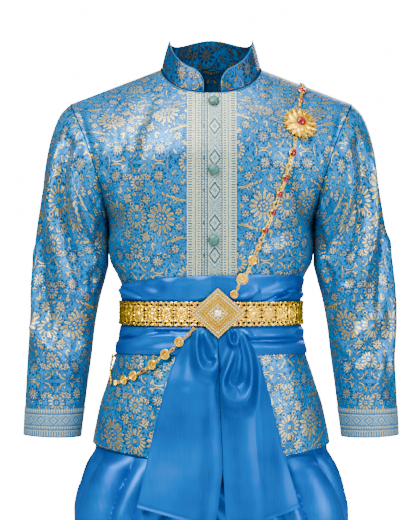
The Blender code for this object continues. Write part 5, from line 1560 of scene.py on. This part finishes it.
LOWER_CHAIN = table(
    "angle z lift half_width half_length kind",
    (-9, -395.1, 3.0, 3.6, 4.2, LINK),
    (-11.4, -402.9, 3.0, 3.6, 4.6, LINK),
    (-16.7, -414, 2.2, 7.7, 7.7, MEDAL),
    (-20.6, -426.8, 0.6, 3.4, 4.6, LINK),
    (-24.8, -433.7, 0, 8.2, 8.2, MEDAL),
    (-28.9, -443.4, 0, 3.4, 4.0, LINK),
    (-33.1, -450.1, 0, 7.8, 7.8, MEDAL),
    (-39.6, -460.3, 0, 4.4, 7.2, RUBY_PAIR),
    (-46.1, -468, 0, 8.0, 8.0, MEDAL),
    (-53.7, -475.4, 0, 7.6, 7.6, MEDAL),
    (-62.4, -481, 0, 4.5, 5.0, FLOWER),
)


HIP = (-71.0, -479.0)  # angle and height where the back's chain begins
OVER_X = 146.0  # where it goes over the shoulder


def chain_piece(kind, w, h):
    """The gold and the stones of one piece, made about its own z axis with its length along y, from its
    half width and half length."""
    gold, stones = [], []
    if kind == RING:
        gold = [ring(h - 1.1, 1.1, w / h, 20)]
    elif kind == LINK:
        gold = [ring(h - 1.15, 1.15, 0.62, 14)]
    elif kind == RUBY_OVAL:
        cup = [(h * 0.6, 0), (h, 0.5), (h * 0.99, 1.7), (h * 0.92, 2.0), (h * 0.82, 1.2)]
        dome = [(h * 0.84, 0.8), (h * 0.84, 1.8), (h * 0.7, 2.9), (h * 0.4, 3.7), (h * 0.1, 4.0)]
        gold = [turned(cup, 20, w / h), ring(h - 0.3, 0.6, w / h, 20)]
        stones = [turned(dome, 16, w / h)]
    elif kind == MEDAL:
        rows = [(h * 0.7, 0), (h * 0.98, 0.4), (h, 1.3), (h * 0.9, 1.9), (h * 0.8, 1.2), (h * 0.66, 1.1)]
        rows += [(h * 0.6, 1.8), (h * 0.45, 2.0), (h * 0.4, 1.5), (h * 0.26, 1.6), (h * 0.16, 2.5)]
        gold = [turned(rows + [(h * 0.05, 2.7)], 32, 1.0, (16, 0.06))]
        gold += circle_of(turned([(0.5, 0), (0.8, 0.5), (0.45, 1.0)], 6), 12, h * 0.74, 1.0)
    elif kind == FLOWER:
        gold = circle_of(turned([(0.9, 0), (1.5, 1.0), (0.8, 2.0)], 8), 8, h * 0.7, 0.2)
        gold.append(ring(h * 0.42, 0.8, 1.0, 14))
    else:
        points, faces = ring(h * 0.42, 0.8, 0.7, 12)
        gold = [(points + [0, h * 0.55 * side, 0], faces) for side in (-1, 1)]
        points, faces = turned([(1.6, 0.2), (2.4, 1.2), (1.2, 2.4)], 10)
        stones = [(points + [0, h * 0.4 * side, 0], faces) for side in (-1, 0, 1)]
    return gold, stones


def add_chain(name, places, outs, rows):
    """Pieces in a row, each turned along the chain, with a small link in each space between two of them,
    or two in a wide one."""
    ahead = unit(np.gradient(places, axis=0))
    gold, stones = [], []
    for k, (half_width, half_length, kind) in enumerate(zip(*rows)):
        way = unit(ahead[k] - (ahead[k] @ outs[k]) * outs[k])
        here = np.array([places[k], np.cross(way, outs[k]), way, outs[k]])
        own_gold, own_stones = chain_piece(int(kind), half_width, half_length)
        gold += [placed(part, here) for part in own_gold]
        stones += [placed(part, here) for part in own_stones]
        if k + 1 == len(places):
            break
        # A link reaches 0.8 mm into the pieces on both sides of it
        space = np.linalg.norm(places[k + 1] - places[k]) - half_length - rows[1][k + 1] + 1.6
        if space > 1.4:
            shifts, share = ((-0.22, 0.22), 0.31) if space > 7 else ((0.0,), 0.52)
            middle = places[k] + ahead[k] * (half_length - 0.8 + space / 2)
            for shift in shifts:
                here[0] = middle + ahead[k] * space * shift
                gold.append(placed(ring(max(space * share, 1.5), 0.85, 0.66, 12), here))
    side = name.split("_")[0]
    complete(add_mesh(name, *merge(gold), sharp=35), LINK_GILT, f"chain_{side}")
    if stones:
        complete(add_mesh(name + "_rubies", *merge(stones), sharp=30), RUBY)


def chain_lift(z):
    """How far the chain lies above the jacket: over the sash where it crosses it."""
    return 1.2 + step((-296 - z) / 9) * step((z + 454) / 9) * 5.4


def make_chains():
    """The chain from the brooch to the buckle, from under the belt to the hip, and up the back."""
    x, z, *rows = FRONT_CHAIN.values()
    seats = np.array([seat(*place) for place in zip(x, z, chain_lift(z))])
    add_chain("front_chain", seats[:, 0], seats[:, 3], rows)
    angle, z, lift, *rows = LOWER_CHAIN.values()
    outs = unit(around(angle, z, 10) - around(angle, z, 0))
    add_chain("lower_chain", around(angle, z, chain_lift(z) + lift), outs, rows)
    count = 61
    kinds = np.resize([RUBY_OVAL, LINK, MEDAL, LINK], count)
    ovals, medals = kinds == RUBY_OVAL, kinds == MEDAL
    half_length = np.select([ovals, medals], [5.6, 6.6], 4.2)
    half_width = np.select([ovals, medals], [4.8, 6.6], 3.0)
    kinds[-5:] = [LINK, RUBY_OVAL, LINK, RUBY_OVAL, LINK]
    half_length[-5:], half_width[-5:] = [3.4, 7.0, 3.0, 4.2, 3.0], [3.0, 6.4, 3.0, 4.0, 3.0]
    add_chain("back_chain", *back_track(np.linspace(0, 1, count)), (half_width, half_length, kinds))


def back_track(share):
    """The chain's way from the hip up the back, over the left shoulder and down to the brooch, and its
    ways out."""
    fine = np.linspace(0, 1, 60)
    angle = HIP[0] - 59.0 * fine
    low_z = HIP[1] + 50 * fine**0.6
    low = around(angle, low_z, chain_lift(low_z) + 0.4)
    x = low[-1, 0] + (OVER_X - low[-1, 0]) * fine
    z = low[-1, 2] + (ridge_height(OVER_X, 1) - 14 - low[-1, 2]) * fine
    over_belt = 3.6 * step((BELT_HALF + 12 - np.abs(z - BELT_Z)) / 8)
    back = stack(x, form_y(x, z, 1, chain_lift(z) + 0.4 + over_belt), z)
    top = np.array([[OVER_X, SEAM_Y, ridge_height(OVER_X, 1) + 3.4]])
    drop = np.linspace(0, 1, 12)
    down_z = ridge_height(OVER_X, -1) - 3 + (BROOCH[1] + 30 - ridge_height(OVER_X, -1) + 3) * drop
    down_x = OVER_X + (BROOCH[0] + 1 - OVER_X) * drop
    down = stack(down_x, form_y(down_x, down_z, -1, 1.8), down_z)
    line = np.concatenate([low, back[1:], top, down])
    length = travel(line[None], 1)[0]
    at = share * length[-1]
    places = np.stack([np.interp(at, length, line[:, k]) for k in range(3)], -1)
    out = unit((places - [0, SEAM_Y, 0]) * [1, 1, 0])
    on_top = step((places[:, 2] + 90) / 70)[:, None]
    front = (places[:, 1:2] < SEAM_Y - 8) & (places[:, 2:] > -60)
    top_way = np.where(front, [0.2, -0.62, 0.76], [0.36, 0, 0.93])
    return places, unit(out * (1 - 0.85 * on_top) + top_way * on_top)


def make_brooch():
    """A sunburst of two rows of pointed rays round a beaded ring, with a red stone, small grains between,
    and a back plate painted dark, as painted shadow, that shows between the tips of the rays."""
    x, z, radius = BROOCH
    radius = 1.06 * radius  # the rays' tips reach a little past it
    here = seat(x, z, 1.0)
    outer = [(1, 0.6), (0.96, 1.8), (0.6, 3.4), (0.4, 3.4)]
    rays = turned([(radius * share, height) for share, height in [(0.6, 0)] + outer], 84, 1.0, (14, 0.3))
    inner = [(0.5, 3.0), (0.74, 3.6), (0.6, 5.4), (0.34, 6.0)]
    inner = turned([(radius * share, height) for share, height in inner], 80, 1.0, (10, 0.26))
    cup = turned([(9.0, 5.2), (9.8, 6.0), (9.2, 7.2), (7.8, 7.2), (7.4, 6.2)], 32)
    parts = [rays, inner, cup]
    points, faces = turned([(0.7, 0), (1.25, 0.8), (0.6, 1.7)], 7)
    # Rings of grains: how many, how far out as a share of the radius, how high, their size and their turn
    grains = ((14, 0.84, 2.2, 1.15, 0.0), (14, 0.66, 3.4, 1.0, 0.5), (20, 0.42, 5.6, 0.8, 0.5))
    for count, share, height, size, shift in grains:
        parts += circle_of((points * size, faces), count, radius * share, height, shift)
    parts += circle_of(ring(2.0, 0.55, 1.0, 10), 14, radius * 0.86, 1.4, 0.5)
    burst = add_mesh("brooch_sunburst", *merge([placed(part, here) for part in parts]), sharp=32)
    complete(burst, LINK_GILT, "brooch")
    # The back plate is painted dark, as painted shadow between the rays
    plate = turned([(radius * 0.86, 0.1), (radius * 0.84, 0.7), (0.5, 0.8)], 40)
    complete(add_mesh("brooch_back_plate", *placed(plate, here)), PAINTED_SHADOW_BRASS)
    dome = turned([(7.4, 6.2), (7.7, 7.2), (7.0, 8.9), (5.2, 10.2), (2.7, 10.9), (0.7, 11.1)], 28)
    complete(add_mesh("brooch_red_stone", *placed(dome, here), sharp=60), RUBY, "brooch_stone")


def make_buttons():
    """Three domed buttons, covered and pressed with a small flower, each on a short shank."""
    profile = [(3.0, 0.2), (6.0, 0.4), (8.2, 1.2), (8.8, 2.4), (8.6, 3.4), (7.9, 4.6), (6.8, 5.7), (5.4, 6.6)]
    body = turned(profile + [(3.8, 7.2), (2.0, 7.6), (0.5, 7.7)], 36)
    for number, z in enumerate(BUTTONS, 1):
        button = add_mesh(f"button_{number}_dome", *placed(body, seat(BUTTON_X, z, 1.0)), sharp=60)
        complete(button, JADE, f"button_{number}")


# Wrapped lower garment

CROTCH_TOP, CROTCH = -592.0, -735.0  # where the two legs part, and where the cloth between them is closed
# x of a leg's inner edge where the legs part and at the crotch, and how much farther out it lies 240 mm below
EDGE, LEG_GAP, LEG_SPREAD = 0.3, 8.0, 10.0
WRAP_ENDS = (-372.0, -970.0)  # heights of the wrap's upper and lower edge
WRAP_TOP = -590.0  # above it the wrap follows the jacket's form
PLEAT_HEIGHT = 1.6  # what the pleats' fullness is multiplied by


def wrap_sizes(z):
    """Half width, front and back depth of the wrap: a little less than the jacket's form, then its own
    below."""
    sizes = []
    for name, less in (("half_width", 5.0), ("front", 6.0), ("back", 7.0)):
        sizes.append(np.where(z > WRAP_TOP, between(BODY, z, name) - less, between(WRAP, z, name)))
    return sizes


def leg_rows(z):
    """Middle, half width and inner edge of one leg, and how far its ring is closed (0 open, 1 at the
    crotch)."""
    closing = np.clip((CROTCH_TOP - z) / (CROTCH_TOP - CROTCH), 0, 1)
    edge = EDGE + (LEG_GAP - EDGE) * step((closing - 0.25) / 0.55) + LEG_SPREAD * step((CROTCH - z) / 240)
    half = (wrap_sizes(z)[0] - edge) / (1 + closing)
    return wrap_sizes(z)[0] - half, half, edge, closing


def leg_folds(angle, z, shift):
    """Pleats that fan out from under the jacket's hem: arches between sharp valleys, each the sine of the
    share of the way between its two valleys to the power 0.75, which start at the hem and are lower toward
    the knee."""
    low = np.clip((WRAP_TOP - z) / 110, 0, 2.0)
    total = np.zeros(np.broadcast(angle, z).shape)
    valleys = PLEATS["top"] + (PLEATS["low"] - PLEATS["top"]) * low + shift
    for k, full in enumerate(PLEATS["full"][:-1]):
        share = (angle - valleys[:, k, None]) / (valleys[:, k + 1, None] - valleys[:, k, None])
        total += full * np.sin(np.pi * np.clip(share, 0, 1)) ** 0.75
    start, knee = step((-586 - z) / 30), 1 - 0.4 * step((-720 - z) / 160)
    ripple = 1.0 * np.sin(np.radians(angle * 7 + z * 0.5)) * step((-760 - z) / 120)
    return (PLEAT_HEIGHT * total * knee - 8.0) * start + ripple


def make_wrap():
    """The two halves of the wrapped garment, each a leg that opens out above the crotch."""
    z = np.linspace(*WRAP_ENDS, 152)[:, None]
    middle, half, edge, closing = leg_rows(z)
    _, front, back = wrap_sizes(z)
    open_turn = np.arccos(np.clip(power((middle - edge) / half, SQUARE / 2), -1, 1))
    turn = open_turn + (2 * np.pi - 2 * open_turn) * np.linspace(0, 1, 182)
    x = middle - half * power(np.cos(turn), 2 / SQUARE)
    y = SEAM_Y - np.where(np.sin(turn) > 0, front, back) * power(np.sin(turn), 2 / SQUARE)
    base = stack(x, y, z)
    base[:, 0, 1] = np.minimum(base[:, 0, 1], SEAM_Y - 0.1)
    base[:, -1, 1] = np.maximum(base[:, -1, 1], SEAM_Y + 0.1)
    normal = -normals(base)
    for column in (0, -1):
        normal[closing[:, 0] >= 1, column] = (-1, 0, 0)
        normal[closing[:, 0] <= 0.1, column, 0] = 0
    normal = unit(normal)
    for name, sign, shift in (("left", 1, 0.0), ("right", -1, 5.0)):
        grid = base + normal * leg_folds(np.degrees(turn), z, shift)[..., None]
        grid[..., 0] = np.maximum(grid[..., 0], edge)
        uv = stack(travel(grid, 1), travel(grid, 0))
        leg = shell(f"wrap_{name}_cloth", grid * [sign, 1, 1], uv, SATIN_WALL)
        complete(leg, SATIN, f"wrap_{name}")
        declare(uv)


ROLL = table(
    "turn half_width lift thickness",
    (-13, 32, 0.6, 1.6),
    (0, 34, 0.5, 1.6),
    (11, 33, 0.6, 2.6),
    (22, 26, 0.8, 4.0),
    (34, 18, 1.0, 6.0),
    (46, 12, 1.0, 8.0),
    (58, 7.4, -1.0, 11.0),
    (72, 7.0, -3.0, 13.0),
    (90, 7.0, -3.0, 13.0),
    (108, 7.0, -3.0, 13.0),
    (122, 7.4, -1.0, 11.0),
    (134, 11, 1.0, 7.0),
)


def make_roll():
    """The wrap's rolled end: a pleated band from the back waist, under the crotch and up in front."""
    turn = np.linspace(-13, 134, 120)[:, None]
    half_width, lift, thick = (between(ROLL, turn, name) for name in ("half_width", "lift", "thickness"))
    u = np.linspace(-1, 1, 49)
    side = np.where(turn <= 90, 1, -1)
    slope = np.radians(np.clip(turn, 0, 180))
    z = CROTCH_TOP + (CROTCH - CROTCH_TOP) * np.sin(slope) - np.minimum(turn, 0) * 4.5 + 0 * u
    x = half_width * u
    middle, half, edge, _ = leg_rows(z)
    _, front, back = wrap_sizes(z)
    along = np.clip((middle - np.maximum(np.abs(x), edge)) / half, -1, 1)
    inward = np.abs(np.sin(np.arccos(power(along, SQUARE / 2)))) ** (2 / SQUARE)
    depth = np.where(side < 0, front, back) * inward
    pleat = lift + thick * (0.82 + 0.18 * np.cos(8 * np.pi * u)) + 1.0
    out = stack(0 * pleat, np.cos(slope), -np.sin(slope))
    grid = stack(x, SEAM_Y + side * depth, z) + out * pleat[..., None]
    uv = stack(travel(grid, 1) * 5, travel(grid, 0))  # the cloth lies in fives across the band
    roll = shell("wrap_roll_cloth", grid, uv, np.minimum(thick * 0.5 + 1.0, 3.0), ways=out)
    complete(roll, SATIN, "wrap_roll")


# Everything made

edges = make_jacket()
make_sleeve("left", 1, edges["left"], edges["left_back"], LEFT_SLEEVE)
make_sleeve("right", -1, edges["right"], edges["right_back"], RIGHT_SLEEVE)
make_collar()
make_buttons()
make_sash()
# The wearer's left tail hangs on the right as it is seen from the front, and its tables are named for that
make_tail("left", "right", RIGHT_TAIL, RIGHT_LOOPS, opening=4.5, lowest=-702, curl=1.5)
make_tail("right", "left", LEFT_TAIL, LEFT_LOOPS, opening=-9, lowest=-693, curl=5)
make_belt()
make_buckle()
make_chains()
make_brooch()
make_wrap()
make_roll()

# Floor, light and camera

FLOOR_Z = -1.06
floor_mesh = bpy.data.meshes.new("studio_floor")
corners = [(x, y, FLOOR_Z) for x, y in ((-2.2, -2.6), (2.2, -2.6), (2.2, 1.6), (-2.2, 1.6))]
floor_mesh.from_pydata(corners, [], [(0, 1, 2, 3)])
floor = bpy.data.objects.new("studio_floor", floor_mesh)
bpy.context.collection.objects.link(floor)
paper, tree, shader = new_material("matt_paper_floor")
mottle = node(tree, "TexNoise", {"Vector": node(tree, "TexCoord")["Object"], "Scale": 9.0, "Detail": 3.0})[0]
mottled = node(tree, "ValToRGB", {0: mottle}, [(0.3, "#f1f1f0"), (0.7, "#f7f7f6")])[0]
connect(tree, shader, {"Base Color": mottled, "Roughness": 0.9})
floor_mesh.materials.append(paper)

world = bpy.data.worlds.new("studio")
bpy.context.scene.world = world
world.use_nodes = True
tree = world.node_tree
background = tree.nodes["Background"]
# The backdrop is white, and it lights the set far less than it shows
seen = node(tree, "LightPath")["Is Camera Ray"]
colours = node(tree, "Mix", {0: seen, 6: linear("#d4dae4"), 7: (1, 1, 1, 1)}, data_type="RGBA")[2]
strength = node(tree, "Math", {0: seen, 1: 15.74, 2: 0.24}, operation="MULTIPLY_ADD")[0]
connect(tree, background, {0: colours, 1: strength})

for name, place, aim, size, power_watts, colour in (
    ("key_softbox", (-1.2, -2.0, 1.9), (0, 0, -0.3), (1.3, 1.3), 255, "#ffffff"),
    ("fill_softbox", (2.3, -1.8, 0.6), (0, 0, -0.4), (1.2, 1.4), 105, "#f4f8ff"),
    ("top_softbox", (0.1, -0.5, 1.9), (0, 0, -0.2), (1.2, 0.9), 42, "#ffffff"),
    ("back_softbox", (0.6, 2.4, 0.8), (0, 0, -0.3), (1.4, 1.4), 60, "#ffffff"),
):
    lamp = bpy.data.lights.new(name, "AREA")
    lamp.shape = "RECTANGLE"
    lamp.size, lamp.size_y = size
    lamp.energy = power_watts
    lamp.color = linear(colour)[:3]
    made = bpy.data.objects.new(name, lamp)
    made.location = place
    made.rotation_euler = (Vector(aim) - Vector(place)).to_track_quat("-Z", "Y").to_euler()
    bpy.context.collection.objects.link(made)

camera = bpy.data.objects.new("camera", bpy.data.cameras.new("camera"))
bpy.context.collection.objects.link(camera)
CAMERA_AWAY, HALF_VIEW = 3.0, 0.416  # how far it stands off, and half the height that it sees there
camera.location = (-0.005, -CAMERA_AWAY, -0.288)
camera.rotation_euler = (np.pi / 2, 0, 0)
camera.data.sensor_fit = "VERTICAL"
camera.data.angle = 2 * np.arctan(HALF_VIEW / CAMERA_AWAY)
bpy.context.scene.camera = camera
